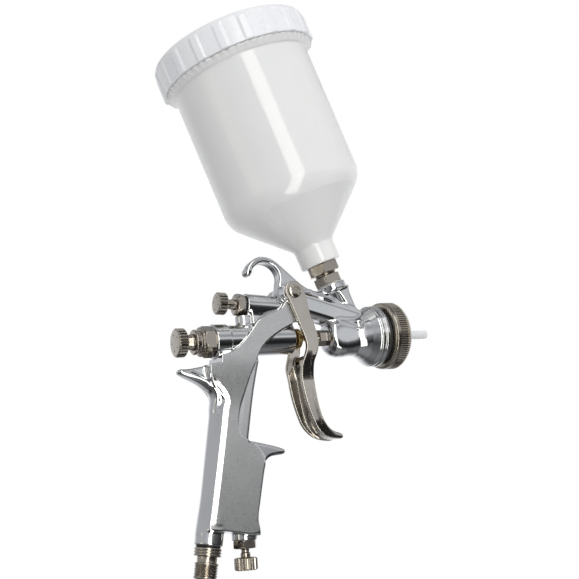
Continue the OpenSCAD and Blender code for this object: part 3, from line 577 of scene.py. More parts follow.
# the head's half section round the needle's axis: its rounded back, waist, flare and ringed bell
head_profile = Outline(
    [(HEAD_BACK, -9), (HEAD_BACK, 6.4), (32.3, 8.9), (34.2, 10.9), (37.2, 12.1), (41, 12.4), (46, 12.0),
     (50.5, 11.9), (54, 13.1), (57.2, 14.9), (59.8, 17.0), (61.2, 18.2), (61.7, 18.3), (62.1, 18.9),
     (64.0, 19.0), (64.3, 18.4), (64.9, 18.4), (65.2, BELL_R), (67.0, BELL_R), (BELL_FRONT, BELL_R - 0.3),
     (BELL_FRONT, SPIGOT_R), (SPIGOT_FRONT, SPIGOT_R), (SPIGOT_FRONT, -9)],
    smooth=0, soft=0.22, pitch=0.2, margin=8)
SPINE_FROM, SPINE_SLOPE, SPINE_LEN = (8, 23.5), math.radians(17), 54
SPINE_HALF_H, SPINE_HALF_W = 7.3, 7.1
arm_shape = Outline([(40.5, 30.4), (52.5, 34.4), (51.5, 29.2), (53.4, 23.4), (55.2, 17.5), (60, 11), (50, 9),
                     (48.6, 15.6), (46.4, 21.5), (43.4, 27)], smooth=1, soft=0.4)
neck_shape = Outline([(18, 20), (22, 30.4), (27.5, 28.6), (33.3, 29.1), (35.4, 29.3), (36.6, 28.7),
                      (40, 25.6), (44.7, 22.4), (50.4, 18.6), (57, 14), (52, 6), (30, 14)],
                     smooth=1, soft=0.4)

# Each part of the casting takes gun-frame points with y made positive, as its two halves are alike.
# u and s are how far a point lies in front of the grip's axis and how far up it.


def tubes(x, y, z):
    """Needle tube and fan tube, with the web and the post between them."""
    tube = drum(np.hypot(y, z), x, TUBE_R + 0.8 * ease(-34.5, -36.5, x), TUBE_BACK, TUBE_FRONT, 0.35)
    web = both(web_outline(x, z), y - 5.5, 1.0)
    fan_tube = drum(*fan_axis(x, y, z), FAN_TUBE_R, FAN_TUBE_BACK, FAN_TUBE_FRONT, 0.4)
    post = drum(np.hypot(x - POST_X, y), z, POST_R, 3, 14.6, 0.4)
    return smin(smin(smin(tube, web, 3.0), fan_tube, 2.4), post, 1.6)


def grip_plate(x, y, z, u, s):
    """Satin band and grip plate, the finger zone in front of it, and the spur."""
    half = BAND_HALF - (BAND_HALF - PLATE_HALF) * ease(-8, -42, z)
    band = band_shape(x, z)
    back_edge = ease(4.6, 2.6, u) * ease(-20, -27, z) * ease(25, 31, s)
    chamfer = 0.4 * np.maximum(band + 3.2, 0) * back_edge
    plate = both(band, y - half + chamfer, 0.45 + 1.6 * ease(20, 26, u) * ease(80, 60, s))
    fingers = both(finger_shape(x, z), y - 5.2, 2.4)
    spur = both(spur_shape(x, z), y - 4.6, 1.7)
    return smin(smin(plate, fingers, 1.6), spur, 2.2)


def grip_back(x, y, z, u, s):
    """Rounded back of the grip, the boss at its foot, and the horn at its top."""
    back = rod(u, y, s, (-1.9, 0, 25), (-1.5, 0, 92), 5.2, 5.9)
    back = smin(back, rod(u, y, s, (-1.5, 0, 92), (-5.2, 0, 103), 5.9, 3.4), 1.0)
    boss = drum(np.hypot(u, y), s, 7.8 - 4.6 * ease(22, 66, s), 17.5, 66, 0.6)
    crown_half = 6.8 - 0.3 * np.maximum(-52 - x, 0) - 4.6 * ease(101, 88, s)
    crown = both(crown_shape(x, z), y - crown_half, 1.4)
    horn = smin(crown, both(horn_web(x, z), y - 3.0, 1.0), 2.6)
    return smin(smin(back, boss, 2), horn, 2.5)


def hook(x, y, z):
    """Hanging hook, with a rim that dies out round its inside and a ball at its tip."""
    flat = both(hook_body(x, z), y - HOOK_HALF, 1.5)
    rim = np.hypot(np.hypot(x - HOOK_X, z - HOOK_Z) - (HOOK_R + 0.8), y - 3.0) - 0.9
    rim = rim + 1.5 * np.where(x < HOOK_X, ease(45, 42.5, z), ease(35, 30, z))
    tip = rod(x, y, z, (-17.1, -1.2, 41.2), (-17.1, 1.2, 41.2), 2.4, 2.4)
    return smin(smin(flat, rim, 0.8), tip, 1.4)


def head(x, y, z):
    """Barrel with the bell, the spine down to it, and the arm and flange that carry the cup."""
    from_x, from_z = x - SPINE_FROM[0], z - SPINE_FROM[1]
    across = from_x * math.sin(SPINE_SLOPE) + from_z * math.cos(SPINE_SLOPE)
    along = from_x * math.cos(SPINE_SLOPE) - from_z * math.sin(SPINE_SLOPE)
    spine = both(np.abs(across) - SPINE_HALF_H, y - SPINE_HALF_W, 4.2)
    spine = smax(spine, np.abs(along - SPINE_LEN / 2) - SPINE_LEN / 2 - 4, 4)
    spine = smin(spine, both(neck_shape(x, z), y - 4.6, 2.4), 2.4)
    flattened = y - 9.7 - 0.05 * np.maximum(x - 46, 0) ** 2
    barrel = smax(head_profile(x, np.hypot(y, z)), flattened, 2.2)
    barrel = smax(barrel, -rod(x, y, z, (29, 12.2, 14.2), (50, 12.2, 6.5), 5.2, 4.0), 0.6)
    flange = drum(*cup_axis(x, y, z), FLANGE_R, FLANGE_BACK, FLANGE_TOP, 0.7)
    arm = both(arm_shape(x, z), y - 5.0, 2.4)
    whole = smin(smin(barrel, spine, 1.8), smin(flange, arm, 2.0), 1.8)
    return np.maximum(whole, 12.5 - x + 0 * y)


def bores(x, y, z, u, s):
    """What the other pieces sit in, and the gap in front of the needle tube for the trigger's lugs."""
    needle = (np.hypot(y, z), x)
    fan, regulator, feed = fan_axis(x, y, z), regulator_axis(x, y, z), cup_axis(x, y, z)
    grip = (np.hypot(u, y), s)
    pivot = (np.hypot(x - PIVOT_X, z - PIVOT_Z), y)
    holes = both(np.maximum(TUBE_FRONT - x, x - HEAD_BACK), needle[0] - 10.6, 0.05)
    for axis, r, start, end in (
            (needle, 7.45, -50, CHAMBER_BACK + SEAT_GAP),  # bushing
            (needle, CHAMBER_R + SEAT_GAP, -40, 20),       # air valve
            (needle, 4.05, 25, 44),                        # packing nut
            (needle, 1.5, 43, 52),                         # needle
            (needle, 4.0, 49, 61),                         # paint
            (needle, 7.05, 60, 80),                        # nozzle
            (needle, SPIGOT_R - 2.6, 66.5, 80),            # air to the cap
            (fan, 5.05, 15, 27.2),                         # fan valve's housing
            (fan, 2.6, 20, 46),                            # air past the fan valve
            (regulator, 4.25, -14, 8),                     # regulator's housing
            (grip, 5.65, 10, 25.4),                        # hose inlet
            (grip, 3.4, 10, 110),                          # air up the grip
            (feed, 4.8, 32.4, 40),                         # cup's fitting
            (pivot, PIN_R + SEAT_GAP, -20, 20)):
        holes = np.minimum(holes, drum(*axis, r, start, end, 0.05))
    return holes


def in_grip(x, z):
    """How far points lie in front of the grip's axis, and how far up it."""
    return ((x - GRIP_X) * LEAN_COS - (z - GRIP_Z) * LEAN_SIN,
            (x - GRIP_X) * LEAN_SIN + (z - GRIP_Z) * LEAN_COS)


def gun_field(x, y, z):
    y = np.abs(y)
    u, s = in_grip(x, z)
    grip = smin(grip_plate(x, y, z, u, s), grip_back(x, y, z, u, s), 2.2)
    d = smin(tubes(x, y, z), grip, 0.7)
    d = smin(d, hook(x, y, z), 2.0)
    from_pivot = np.hypot(x - PIVOT_X, z - PIVOT_Z)
    pivot_boss = drum(from_pivot, y, PIVOT_BOSS_R, -PIVOT_BOSS_HALF, PIVOT_BOSS_HALF, 0.6)
    d = smin(d, pivot_boss, 1.2)
    d = smin(d, head(x, y, z), 2.0)
    d = smin(d, drum(*regulator_axis(x, y, z), 7.05, -6, 3.1, 0.5), 1.0)
    behind_fan_tube = drum(*fan_axis(x, y, z), FAN_TUBE_R + 0.3, 10, FAN_TUBE_BACK + 0.02, 0.1)
    d = np.maximum(d, -behind_fan_tube)
    return smax(d, -bores(x, y, z, u, s), 0.25)


def satin_on(points, normals):
    """1 on the flat sides of the band and the plate, less on the finger zone, 0 on the polished rest."""
    x, y, z = points.T
    flat = ease(0.93, 0.985, np.abs(normals[:, 1]))
    u = in_grip(x, z)[0]
    band = band_shape(x, z)
    on_plate = ease(-0.35, -1.0, band) * ((np.abs(y) > 6.6) & (x < 8))
    on_fingers = 0.6 * ease(0, -1, finger_shape(x, z)) * ((band > 0) & (u > 11))
    return flat * np.maximum(on_plate, on_fingers)


pitch = 0.55
CASTING_LOW, CASTING_SIZE = (-69.3, -20.075, -123.2), (148, 40.15, 176.5)
points, quads, normals = contour(gun_field, CASTING_LOW, pitch, CASTING_SIZE)
body = mesh_object("gun_casting", points + GUN, quads, chrome, normals,
                   attributes=[("satin", satin_on(points, normals))])
fit_out(body, "casting", "body_chrome", "gun_body")

# ---------- trigger ----------

# the line that the front of the finger channel and the front of its sides share
finger_face = [(14.6, -19), (14.5, -28.3), (15.4, -41.2), (17.2, -50), (20.6, -55.2), (24.6, -58),
               (28.6, -59.2), (30.1, -60.2), (29.9, -61.9)]
side_shape = Outline(
    [(1.2, 24.5), (3.4, 20), (5, 15), (6.8, 9.4), (10.2, -1.4), (11.1, -6.4), (9.2, -11.5), (6.9, -16.5),
     (6.5, -21), (6.6, -29.9), (8.3, -41.2), (11.6, -52.6), (16, -58.6), (21.5, -61.2), (27.5, -61.9)]
    + finger_face[::-1]
    + [(15, -15.4), (17.4, -10.8), (19.1, -6), (19, -1.5), (17.7, 6.3), (15.9, 11.5), (15.2, 17), (14.6, 22),
       (13.6, 28), (11, 32), (7, 33.6), (3, 32), (0.8, 28.5)],
    smooth=1, soft=0.3)
finger_front = Outline(
    [(15.3, -9.5), (16.6, -11.5), (14.9, -15.6)] + finger_face
    + [(27.5, -61.9), (22.4, -60.6), (18.2, -57.6), (15.2, -51.6), (13.3, -41.6), (12.4, -28.3),
       (12.4, -19), (12.6, -14)], smooth=1, soft=0.3)


def trigger_field(x, y, z):
    y = np.abs(y)
    outer = ARM_OUT - 3.8 * ease(-9, -27, z) - 1.6 * ease(-50, -60, z)
    wall = both(side_shape(x, z), np.abs(y - outer + ARM_T / 2) - ARM_T / 2, 0.55)
    front = both(finger_front(x, z), y - outer, 1.5)
    d = smin(wall, front, 1.6)
    lug = drum(np.hypot(x - 15.5, z), y, 2.5, 3.4, 12.4, 0.3)
    d = smin(d, lug, 0.8)
    d = np.maximum(d, -drum(np.hypot(x - PIVOT_X, z - PIVOT_Z), y, PIN_R + 0.1, -20, 20, 0.05))
    return np.maximum(d, y - ARM_OUT)


pitch = 0.4
TRIGGER_LOW, TRIGGER_SIZE = (-1, -14.2, -63.6), (32.8, 28.4, 98.4)
points, quads, normals = contour(trigger_field, TRIGGER_LOW, pitch, TRIGGER_SIZE)
trigger = mesh_object("trigger_pressed", points + GUN, quads, trigger_nickel, normals)
fit_out(trigger, "trigger", "trigger_nickel", "trigger")


def pin_field(side):
    """The trigger's pin at the near side (-1), with a bore for the screw of the far side (1)."""
    def field(x, y, z):
        r, t = np.hypot(x - PIVOT_X, z - PIVOT_Z), side * y
        head = both(r - PIN_HEAD_R, np.maximum(13.32 - t, t - 14.55), 0.4)
        head = smax(head, np.sqrt(r * r + (t - 4.2) ** 2) - 10.45, 0.3)
        slot = both(np.abs((x - PIVOT_X) * 0.77 + (z - PIVOT_Z) * 0.64) - 0.5, 13.95 - t, 0.05)
        d = smax(head, -slot, 0.15)
        shank = drum(r, t, *((PIN_R, -12) if side < 0 else (1.45, 6.8)), 13.6, 0.1)
        d = np.minimum(d, shank)
        if side < 0:
            d = np.maximum(d, -drum(r, t, 1.5, -20, -5, 0.05))
        return d
    return field


pitch = 0.2
for label, node, side, from_y, length in (("pivot_pin", "trigger_pin", -1, -15.1, 28),
                                          ("pivot_screw", "trigger_pin_screw", 1, 6, 9.1)):
    low, size = (PIVOT_X - 4.6, from_y, PIVOT_Z - 4.6), (9.2, length, 9.2)
    points, quads, normals = contour(pin_field(side), low, pitch, size)
    fit_out(mesh_object(label, points + GUN, quads, nickel, normals), "casting", "nickel", node)

# ---------- fluid knob, bushing, air valve and needle ----------

knob = turned("fluid_adjusting_knob", NEEDLE, [
    (KNOB_BACK, 0), (KNOB_BACK, 7.4), (-66.5, KNOB_R), (-62.2, KNOB_R), (-61.5, 7.5), (-61.5, 4.6),
    (-60.2, 4.0), (-57.6, 4.7), (-56.5, 4.9), (-56.5, 4.05), (-46, 4.05), (-46, 0)],
    nickel, 0.25, 280, fluted(KNOB_R, 28, 0.75, -66.6, -61.6))
fit_out(knob, "fluid_control", "nickel", "fluid_knob")
bushing = turned("needle_guide_bushing", NEEDLE, [
    (-56.3, 4.15), (-56.3, 6.7), (-55.8, 7.3), (-55.0, 7.3), (-54.7, 6.7), (-52.9, 6.7), (-52.6, 8.2),
    (-52.2, 8.6), (-51.4, 8.6), (-51.1, 8.0), (-50.8, 8.6), (-50.2, BUSHING_HEX_R), (-45.3, BUSHING_HEX_R),
    (-44.6, 8.7), (TUBE_BACK - SEAT_GAP, 7.4), (CHAMBER_BACK - SEAT_GAP, 7.4),
    (CHAMBER_BACK - SEAT_GAP, 4.15)], nickel, 0.2, 96, hexed(BUSHING_HEX_R, 8.0), closed=True)
fit_out(bushing, "casting", "nickel", "needle_bushing")
spring = coil("return_spring", NEEDLE, -45.9, -14.8, 2.2, 0.35, 12, spring_steel)
fit_out(spring, "casting", "spring_steel", "needle_spring")
spring = coil("air_valve_return_spring", NEEDLE, -35.9, -6.0, 5.4, 0.5, 8, spring_steel)
fit_out(spring, "casting", "spring_steel", "air_valve_spring")
stem = turned("air_valve_plunger", NEEDLE, [
    (-10.4, NEEDLE_BORE), (-10.4, 3.0), (-10, SLEEVE_R), (-5.9, SLEEVE_R), (-5.9, 6.1), (-3.9, 6.1),
    (-3.9, SLEEVE_R), (9.7, SLEEVE_R), (9.7, 6.2), (10.2, 6.2), (12.3, 6.2), (12.7, 5.7),
    (12.7, NEEDLE_BORE)], brass, 0.25, 72, closed=True)
fit_out(stem, "air_valve", "brass", "air_valve_stem")
rod_piece = turned("fluid_needle_rod", NEEDLE, [
    (-40.5, 0), (-40.5, 0.8), (-40.0, NEEDLE_R), (-14.7, NEEDLE_R), (-14.7, 2.9), (-11.7, 2.9),
    (-11.7, NEEDLE_R), (79.9, NEEDLE_R), (83.3, 0.3), (83.4, 0)], steel, 0.15, 32)
fit_out(rod_piece, "fluid_needle", "steel", "needle")
packing = turned("needle_packing_nut", NEEDLE, [
    (25.4, NEEDLE_BORE), (25.4, 3.6), (25.9, 5.0), (30.9, 5.0), (31.4, 4.5), (31.45, 4.0), (43.9, 4.0),
    (43.9, NEEDLE_BORE)], nickel, 0.2, 96, hexed(5.0, 4.1), closed=True)
fit_out(packing, "casting", "nickel", "packing_nut")


def dots(name, where, along, radius, count, size, body):
    """Flat dark discs round a knob's face: painted shade, standing for the shade inside small dimples."""
    ring = np.arange(12) * math.pi / 6
    turn = np.arange(count) * 2 * math.pi / count + 0.4
    at = radius * np.stack([np.cos(turn), np.sin(turn)], -1)
    flat = at[:, None, :] + size * np.stack([np.cos(ring), np.sin(ring)], -1)[None]
    local = np.concatenate([flat, np.full(flat.shape[:2] + (1,), along)], -1).reshape(-1, 3)
    faces = [list(range(12 * i, 12 * i + 12))[::-1] for i in range(count)]
    fit_out(mesh_object(name, where[0] + local @ where[1], faces, dimple_shade_paint), body, None)


# painted shade of the fluid knob's dimples, as dark discs on its face
dots("fluid_knob_dimple_shadows", NEEDLE, KNOB_BACK - 0.03, 4.7, 5, 0.5, "fluid_control")

# ---------- fan valve ----------

piece = turned("fan_adjusting_knob", FAN, [
    (0, 0), (0, 5.8), (0.5, 6.6), (5.2, 6.6), (5.8, 5.9), (5.8, 0)], nickel, 0.25, 220,
    fluted(6.6, 22, 0.65, 0.4, 5.6))
fit_out(piece, "fan_control", "nickel", "fan_knob")
# painted shade of the fan knob's dimples, as dark discs on its face
dots("fan_knob_dimple_shadows", FAN, -0.03, 3.7, 4, 0.45, "fan_control")
piece = turned("fan_valve_spindle", FAN, [
    (5.85, 0), (5.85, 3.0), (7.2, 2.7), (9.6, 3.1), (25.8, 3.1), (25.8, 2.0), (34.8, 0.8), (34.8, 0)],
    nickel, 0.3, 48)
fit_out(piece, "fan_control", "steel", "fan_valve_stem")
piece = turned("fan_valve_housing", FAN, [
    (11.5, 3.15), (11.5, 4.6), (11.7, 5.6), (12.2, 6.5), (12.8, 6.7), (13.2, 6.35), (13.5, 7.0), (16.1, 7.0),
    (16.5, 6.5), (16.5, 5.0), (26.9, 5.0), (26.9, 3.15)], nickel, 0.2, 96, hexed(7.0, 6.4), closed=True)
fit_out(piece, "casting", "nickel", "fan_valve_body")
piece = turned("fan_valve_ring_seal", FAN, [
    (16.55, 5.05), (16.55, 5.6), (17.3, 5.9), (18.05, 5.6), (18.05, 5.05)], seal_black, 0.5, 64, closed=True)
fit_out(piece, "casting", "seal_black", "fan_valve_o_ring")

# ---------- air regulator and inlet ----------

piece = turned("air_regulator_knob", REGULATOR, [
    (12, 0), (12, 5.2), (12.7, 6.4), (18.3, 6.4), (19, 5.6), (19, 0)], nickel, 0.25, 220,
    fluted(6.4, 22, 0.65, 12.4, 18.8))
fit_out(piece, "air_control", "nickel", "regulator_knob")
piece = turned("air_regulator_spindle", REGULATOR, [
    (-14, 0), (-14, 1.2), (-8, 1.2), (-8, 2.75), (7.6, 2.75), (8.2, 2.2), (9.4, 2.2), (9.9, 2.75), (12, 2.75),
    (12, 0)], nickel, 0.2, 48)
fit_out(piece, "air_control", "nickel", "regulator_stem")
piece = turned("air_regulator_housing", REGULATOR, [
    (-12, 2.85), (-12, 4.2), (3.15, 4.2), (3.15, 6.3), (3.6, 6.9), (6.9, 6.9), (7.4, 6.2), (7.65, 4.6),
    (7.65, 2.85)], nickel, 0.2, 96, hexed(6.9, 5.6), closed=True)
fit_out(piece, "casting", "nickel", "regulator_body")
piece = turned("hose_inlet", GRIP, [(24.3, 4.2), (0.4, 4.2), (0, 4.6), (0, 5.5), (0.5, 6.2), (0.7, THREAD_R)]
               + rings(0.8, 8.3, THREAD_R)
               + [(8.5, 6.3), (8.7, 5.48), (11.7, 5.48), (11.9, 6.9), (12.2, COLLAR_R), (12.9, COLLAR_R),
                  (13.1, 7.0), (13.5, 7.0), (13.7, COLLAR_R), (14.4, COLLAR_R), (14.6, 7.0), (15.0, 7.0),
                  (15.2, COLLAR_R), (16.0, COLLAR_R), (16.5, 7.0), (16.7, 6.0), (16.7, 5.6), (24.3, 5.6)],
               nickel, 0.1, 96, threaded(THREAD_R, 1.337, 0.75, 0.7, 8.5), closed=True)
fit_out(piece, "casting", "nickel", "air_inlet")
piece = turned("hose_inlet_seal", GRIP, [
    (16.76, 5.66), (16.76, 6.7), (17.1, 6.9), (17.44, 6.7), (17.44, 5.66)], seal_black, 0.3, 64, closed=True)
fit_out(piece, "casting", "seal_black", "inlet_seal")

# ---------- air cap ----------

piece = turned("air_cap_knurled_ring", NEEDLE, [
    (RING_BACK, SPIGOT_R + SEAT_GAP), (RING_BACK, RING_R - 1.7), (71.1, RING_R - 0.8), (71.9, RING_R - 0.2)]
    + [(d, RING_R) for d in (73.2, 73.9, 74.4, 75, 77.2, 79.4, 79.9, 80.3)]
    + [(80.9, RING_R - 0.3), (82.9, RING_R - 1.9), (RING_FRONT, RING_R - 2.5), (RING_FRONT, 14.0),
       (80.7, 14.0), (80.7, 16.1), (76, 16.1), (76, SPIGOT_R + SEAT_GAP)],
    ring_nickel, 0.15, 768, fluted(RING_R, 96, 0.5, 74.3, 80.0, 0.4), closed=True)
fit_out(piece, "cap_ring", "ring_nickel", "air_cap_ring")
piece = turned("bell_rubber_seal", NEEDLE, [
    (67.6, SPIGOT_R + SEAT_GAP), (67.6, 17.1), (68.0, 17.2), (70.1, 17.2), (70.5, 17.1),
    (70.5, SPIGOT_R + SEAT_GAP)], seal_black, 0.2, 96, closed=True)
fit_out(piece, "casting", "seal_black", "air_cap_seal")
piece = turned("spray_tip_guard", NEEDLE, [
    (81.6, 1.95), (81.6, 2.3), (83.4, 2.3), (83.8, 2.4), (95, 2.6), (106.8, 2.75), (107.9, 2.6), (108.1, 2.2),
    (107.9, 1.4), (104, 1.3), (85.6, 1.3), (85.4, 1.95)], tip_white, 0.25, 48, closed=True)
fit_out(piece, "nozzle_guard", "tip_white", "tip_protector")

# ---------- cup ----------

FITTING_TURN = math.radians(8)
NUT_THREAD_R, NUT_HEX_R = 6.8, 10.7
piece = turned("cup_inlet_fitting", CUP, [
    (33, 3.0), (33, 4.75), (36.0, 4.75), (36.0, 8.5), (36.5, 9.3), (40.9, 9.3), (41.4, 8.6), (41.45, 6.9),
    (37.1, 6.9), (37.1, 3.0)], nickel, 0.25, 96, hexed(9.3, 7.4, FITTING_TURN), closed=True)
fit_out(piece, "casting", "nickel", "inlet_fitting")


def nut_section(t, d, r):
    return hexed(NUT_HEX_R, 8.2)(t, d, threaded(NUT_THREAD_R, 1.2, 0.5, 37.6, 43)(t, d, r))


piece = turned("cup_outlet_nut", CUP, [
    (37.4, 4.5), (37.4, 6.2)] + rings(37.8, 42.9, NUT_THREAD_R)
    + [(43.2, 6.4), (43.3, 9.6), (43.8, NUT_HEX_R), (48.7, NUT_HEX_R), (49.3, 9.9), (49.4, 7.9), (60.0, 7.9),
       (60.0, 4.5)], nickel, 0.25, 96, nut_section, closed=True)
fit_out(piece, "paint_cup", "nickel", "cup_nut")

# the body's lower end draws in along a parabola, and the inside follows it a wall's thickness away
curve = [(100.35 - 11.2 * q, CUP_R - 4 * q * q) for q in np.linspace(1, 0, 9)]
cup_profile = ([(49.5, 7.95), (49.5, 11.9), (49.8, 12.5), (50.6, 12.8), (61.8, 12.9), (63.0, 13.6),
                (64.0, 14.4)]
               + curve + [(180.3, CUP_R), (180.7, 46.4), (183.2, 49.2), (184.4, 49.8), (184.5, 45.2),
               (186.6, 45.1), (187.6, 47.3), (196.1, 47.3), (197.5, 46.2), (197.5, 42.8)]
               + [(d + 0.6, r - 2.2) for d, r in curve[::-1]] + [(64.2, 9.6), (61.9, 7.95)])


def notched(t, d, r):
    """Fine notches round the cup's rim, and three lower stretches."""
    cut = 0.7 * (np.cos(60 * t) > 0.2) + 0.5 * (np.cos(3 * t + 0.6) > 0.86)
    return np.where((r > 47) & (d < 184.5), r - cut, r)


cup = turned("paint_cup_shell", CUP, cup_profile, cup_plastic, 0.6, 360, notched, closed=True, sharp=40)
fit_out(cup, "paint_cup", "cup_plastic", "cup")

RIB_HALF = math.radians(2.6)


def ribbed(t, d, r):
    """Narrow flat-topped ribs that run up the skirt and die out into its rounded top edge."""
    pitch_angle = 2 * math.pi / LID_RIBS
    off = np.abs((t + pitch_angle / 2) % pitch_angle - pitch_angle / 2)
    up = 0.85 * ease(RIB_HALF * 1.55, RIB_HALF * 0.75, off) * ease(201.5, 198.2, d)
    return np.where((r > 50) & (d < 201.6), r + up, r)


lid_skirt = [(d, LID_R) for d in (184.6, 188, 192, 195, 197, 198, 199, 200)]
lid = turned("paint_cup_lid", CUP, [
    (199.4, 2.6), (199.4, 46.6), (197.6, LID_IN), (184.7, LID_IN), (184.55, 48.4), (184.55, 50.2)] + lid_skirt
    + [(201.2, 50.4), (202.4, 49.7), (203.1, 48.7), (203.35, 47.6), (203.3, 46.9), (202.6, 45.9),
       (201.7, 44.7), (201.55, 43.4), (201.55, 30), (201.8, 29.5), (201.8, 28.5), (201.55, 28), (201.55, 8),
       (201.55, 2.6)],
    lid_plastic, 0.35, 720, ribbed, closed=True, sharp=40)
fit_out(lid, "cup_cover", "lid_plastic", "cup_lid")
vent = turned("lid_vent_plug", CUP, [
    (197.9, 0), (197.9, 2.1), (198.4, 2.45), (201.6, 2.45), (201.66, 4.1), (202.2, 4.5), (203.0, 4.5),
    (203.4, 4.0), (203.45, 0)], lid_plastic, 0.2, 48)
fit_out(vent, "vent", "lid_plastic", "vent_plug")

# ---------- CAD pieces that stay, in better materials ----------

for node, material in (("air_valve_seat", brass), ("air_valve_washer", seal_black),
                       ("packing_seal", seal_white), ("air_distributor", nickel), ("air_cap", ring_nickel),
                       ("fluid_nozzle", steel), ("cup_filter", steel), ("lid_gasket", seal_white),
                       ("fitting_washer", seal_white), ("regulator_o_ring", seal_black)):
    mesh = frame["nodes"][node].data
    mesh.materials.clear()
    mesh.materials.append(material)

# ---------- stage, light and camera ----------

scene = bpy.context.scene
scene.view_settings.view_transform = "Standard"


def pale_floor(name):
    """Matt and pale. The camera sees it lifted to the backdrop's white, with the shadow kept."""
    material, g, bsdf = shader(name)
    bsdf.inputs["Roughness"].default_value = 0.9
    bsdf.inputs["Specular IOR Level"].default_value = 0.0
    tone = g.blend(g.spread(g.noise(8), 0, 1), (0.86, 0.86, 0.86), (0.88, 0.88, 0.88))
    g.links.new(tone, bsdf.inputs["Base Color"])
    path = g.nodes.new("ShaderNodeLightPath")
    bsdf.inputs["Emission Color"].default_value = (1, 1, 1, 1)
    lift = g.spread(path.outputs["Is Camera Ray"], 0, 0.55, 0, 1)
    g.links.new(lift, bsdf.inputs["Emission Strength"])
    return material


low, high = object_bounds()
centre = (Vector(low) + Vector(high)) / 2
floor_z = low[2] - 0.16
bpy.ops.mesh.primitive_plane_add(size=1.3, location=(centre[0] + 0.24, centre[1] + 0.52, floor_z))
floor = bpy.context.object
floor.name = "studio_floor"
floor.data.materials.append(pale_floor("floor_white"))
floor.visible_glossy = False  # the world below holds what mirrors see in its place


class WorldGraph(Graph):
    """Nodes for a world that is told apart by the direction of a ray."""

    def facing(self, direction):
        """Cosine of the angle between the ray and a direction."""
        v = self.nodes.new("ShaderNodeVectorMath")
        v.operation = "DOT_PRODUCT"
        coord = self.nodes.new("ShaderNodeTexCoord")
        self.links.new(coord.outputs["Generated"], v.inputs[0])
        v.inputs[1].default_value = Vector(direction).normalized()
        return v.outputs["Value"]

    def ramp(self, source, stops):
        """A row of greys over -1 to 1, a little cool."""
        c = self.nodes.new("ShaderNodeValToRGB")
        c.color_ramp.interpolation = "EASE"
        while len(c.color_ramp.elements) < len(stops):
            c.color_ramp.elements.new(0.5)
        for element, (at, value) in zip(c.color_ramp.elements, stops):
            element.position = (at + 1) / 2
            element.color = (value * 0.985, value, value * 1.025, 1)
        self.links.new(self.spread(source, 0, 1, -1, 1), c.inputs["Fac"])
        return c.outputs["Color"]

    def step(self, source, start, end):
        return self.spread(source, 0, 1, start, end, "SMOOTHSTEP")

    def background(self, colour, strength):
        b = self.nodes.new("ShaderNodeBackground")
        if isinstance(colour, tuple):
            b.inputs["Color"].default_value = (*colour, 1)
        else:
            self.links.new(colour, b.inputs["Color"])
        b.inputs["Strength"].default_value = strength
        return b.outputs["Background"]

    def either(self, factor, a, b):
        """Shader a where the factor is 0, and b where it is 1."""
        m = self.nodes.new("ShaderNodeMixShader")
        self.links.new(factor, m.inputs["Fac"])
        self.links.new(a, m.inputs[1])
        self.links.new(b, m.inputs[2])
        return m.outputs["Shader"]


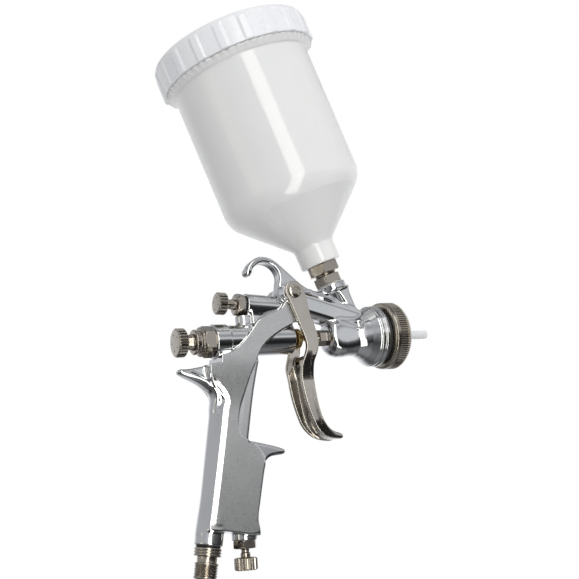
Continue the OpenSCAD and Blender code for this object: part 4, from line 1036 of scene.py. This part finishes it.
def mirrored_room(g, behind):
    """What mirrors see: the pale backdrop and floor beyond the object, a dim room behind the camera
    that is darkest below eye level, a paler wall to the left, and two strip lights."""
    up = g.facing((0, 0, 1))
    room = g.ramp(up, [(-1, 0.3), (-0.75, 0.12), (-0.5, 0.015), (-0.2, 0.03), (-0.03, 0.12), (0.14, 0.8),
                       (0.4, 0.4), (0.7, 0.75), (0.88, 0.2)])
    beyond = g.ramp(up, [(-1, 0.3), (-0.6, 0.75), (-0.2, 0.95), (0.3, 0.95), (0.6, 0.35), (1, 0.4)])
    left_wall = g.ramp(up, [(-1, 0.2), (-0.5, 0.12), (-0.1, 0.35), (0.3, 0.55), (1, 0.4)])
    seen = g.blend(g.step(g.facing((-0.93, 0.1, 0)), 0.35, 0.8), room, left_wall)
    seen = g.blend(g.step(g.facing(behind), 0.35, 0.9), seen, beyond)
    seen = g.background(seen, 1.0)
    # a tall strip beside the camera, the highlight of the cup and of the rounded metal
    strip = g.step(g.facing((-0.22, -0.975, 0)), 0.5, 0.62)
    for side in ((-0.975, 0.22, 0), (0.975, -0.22, 0)):
        strip = g.times(strip, g.step(g.facing(side), -0.2, -0.15))
    seen = g.either(strip, seen, g.background((1, 0.985, 0.92), 4.5))
    # a warmer one to the left, in the middle of the rounded back of the grip
    side_strip = g.step(g.facing((-0.99, -0.12, 0)), 0.965, 0.975)
    return g.either(side_strip, seen, g.background((1, 0.95, 0.80), 1.1))


def studio_world(behind):
    """Plain light on the object, the room above in its mirrors, and white for the camera."""
    world = bpy.data.worlds.new("studio")
    world.use_nodes = True
    world.node_tree.nodes.clear()
    g = WorldGraph(world.node_tree)
    path = g.nodes.new("ShaderNodeLightPath")
    white = g.background((1, 1, 1), 1.0)
    lit = g.either(path.outputs["Is Glossy Ray"], g.background((1, 1, 1), 0.64), mirrored_room(g, behind))
    lit = g.either(path.outputs["Is Transmission Ray"], lit, white)
    lit = g.either(path.outputs["Is Camera Ray"], lit, white)
    g.links.new(lit, g.nodes.new("ShaderNodeOutputWorld").inputs["Surface"])
    return world


# The camera's place and axes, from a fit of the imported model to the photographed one.
CAMERA_AT = (-0.18862, -0.46959, 0.03650)
RIGHT, UP, BACK = (0.8795, -0.4592, -0.1250), (0.0034, -0.2566, 0.9665), (-0.4759, -0.8505, -0.2241)
scene.world = studio_world(behind=tuple(-v for v in BACK))


def lamp(name, direction, width, height, power, distance=1.1):
    """A soft lamp that shines at the object's middle and shows in no mirror."""
    data = bpy.data.lights.new(name, "AREA")
    data.shape = "RECTANGLE"
    data.size, data.size_y = width, height
    data.energy = power
    obj = bpy.data.objects.new(name, data)
    d = Vector(direction).normalized()
    obj.location = centre + d * distance
    obj.rotation_euler = d.to_track_quat("Z", "Y").to_euler()
    scene.collection.objects.link(obj)
    obj.visible_camera = False
    obj.visible_glossy = False


lamp("key_soft", (0.0, -0.9, 0.25), 0.5, 1.0, 5.2)
lamp("top_soft", (0.1, 0.1, 1), 0.8, 0.8, 2.6)

camera_data = bpy.data.cameras.new("photo_camera")
camera_data.sensor_width = 36
camera_data.lens = 55.96
camera_data.clip_start = 0.01
camera = bpy.data.objects.new("photo_camera", camera_data)
scene.collection.objects.link(camera)
axes = Matrix((RIGHT, UP, BACK)).transposed().to_4x4()
camera.matrix_world = Matrix.Translation(Vector(CAMERA_AT)) @ axes
scene.camera = camera
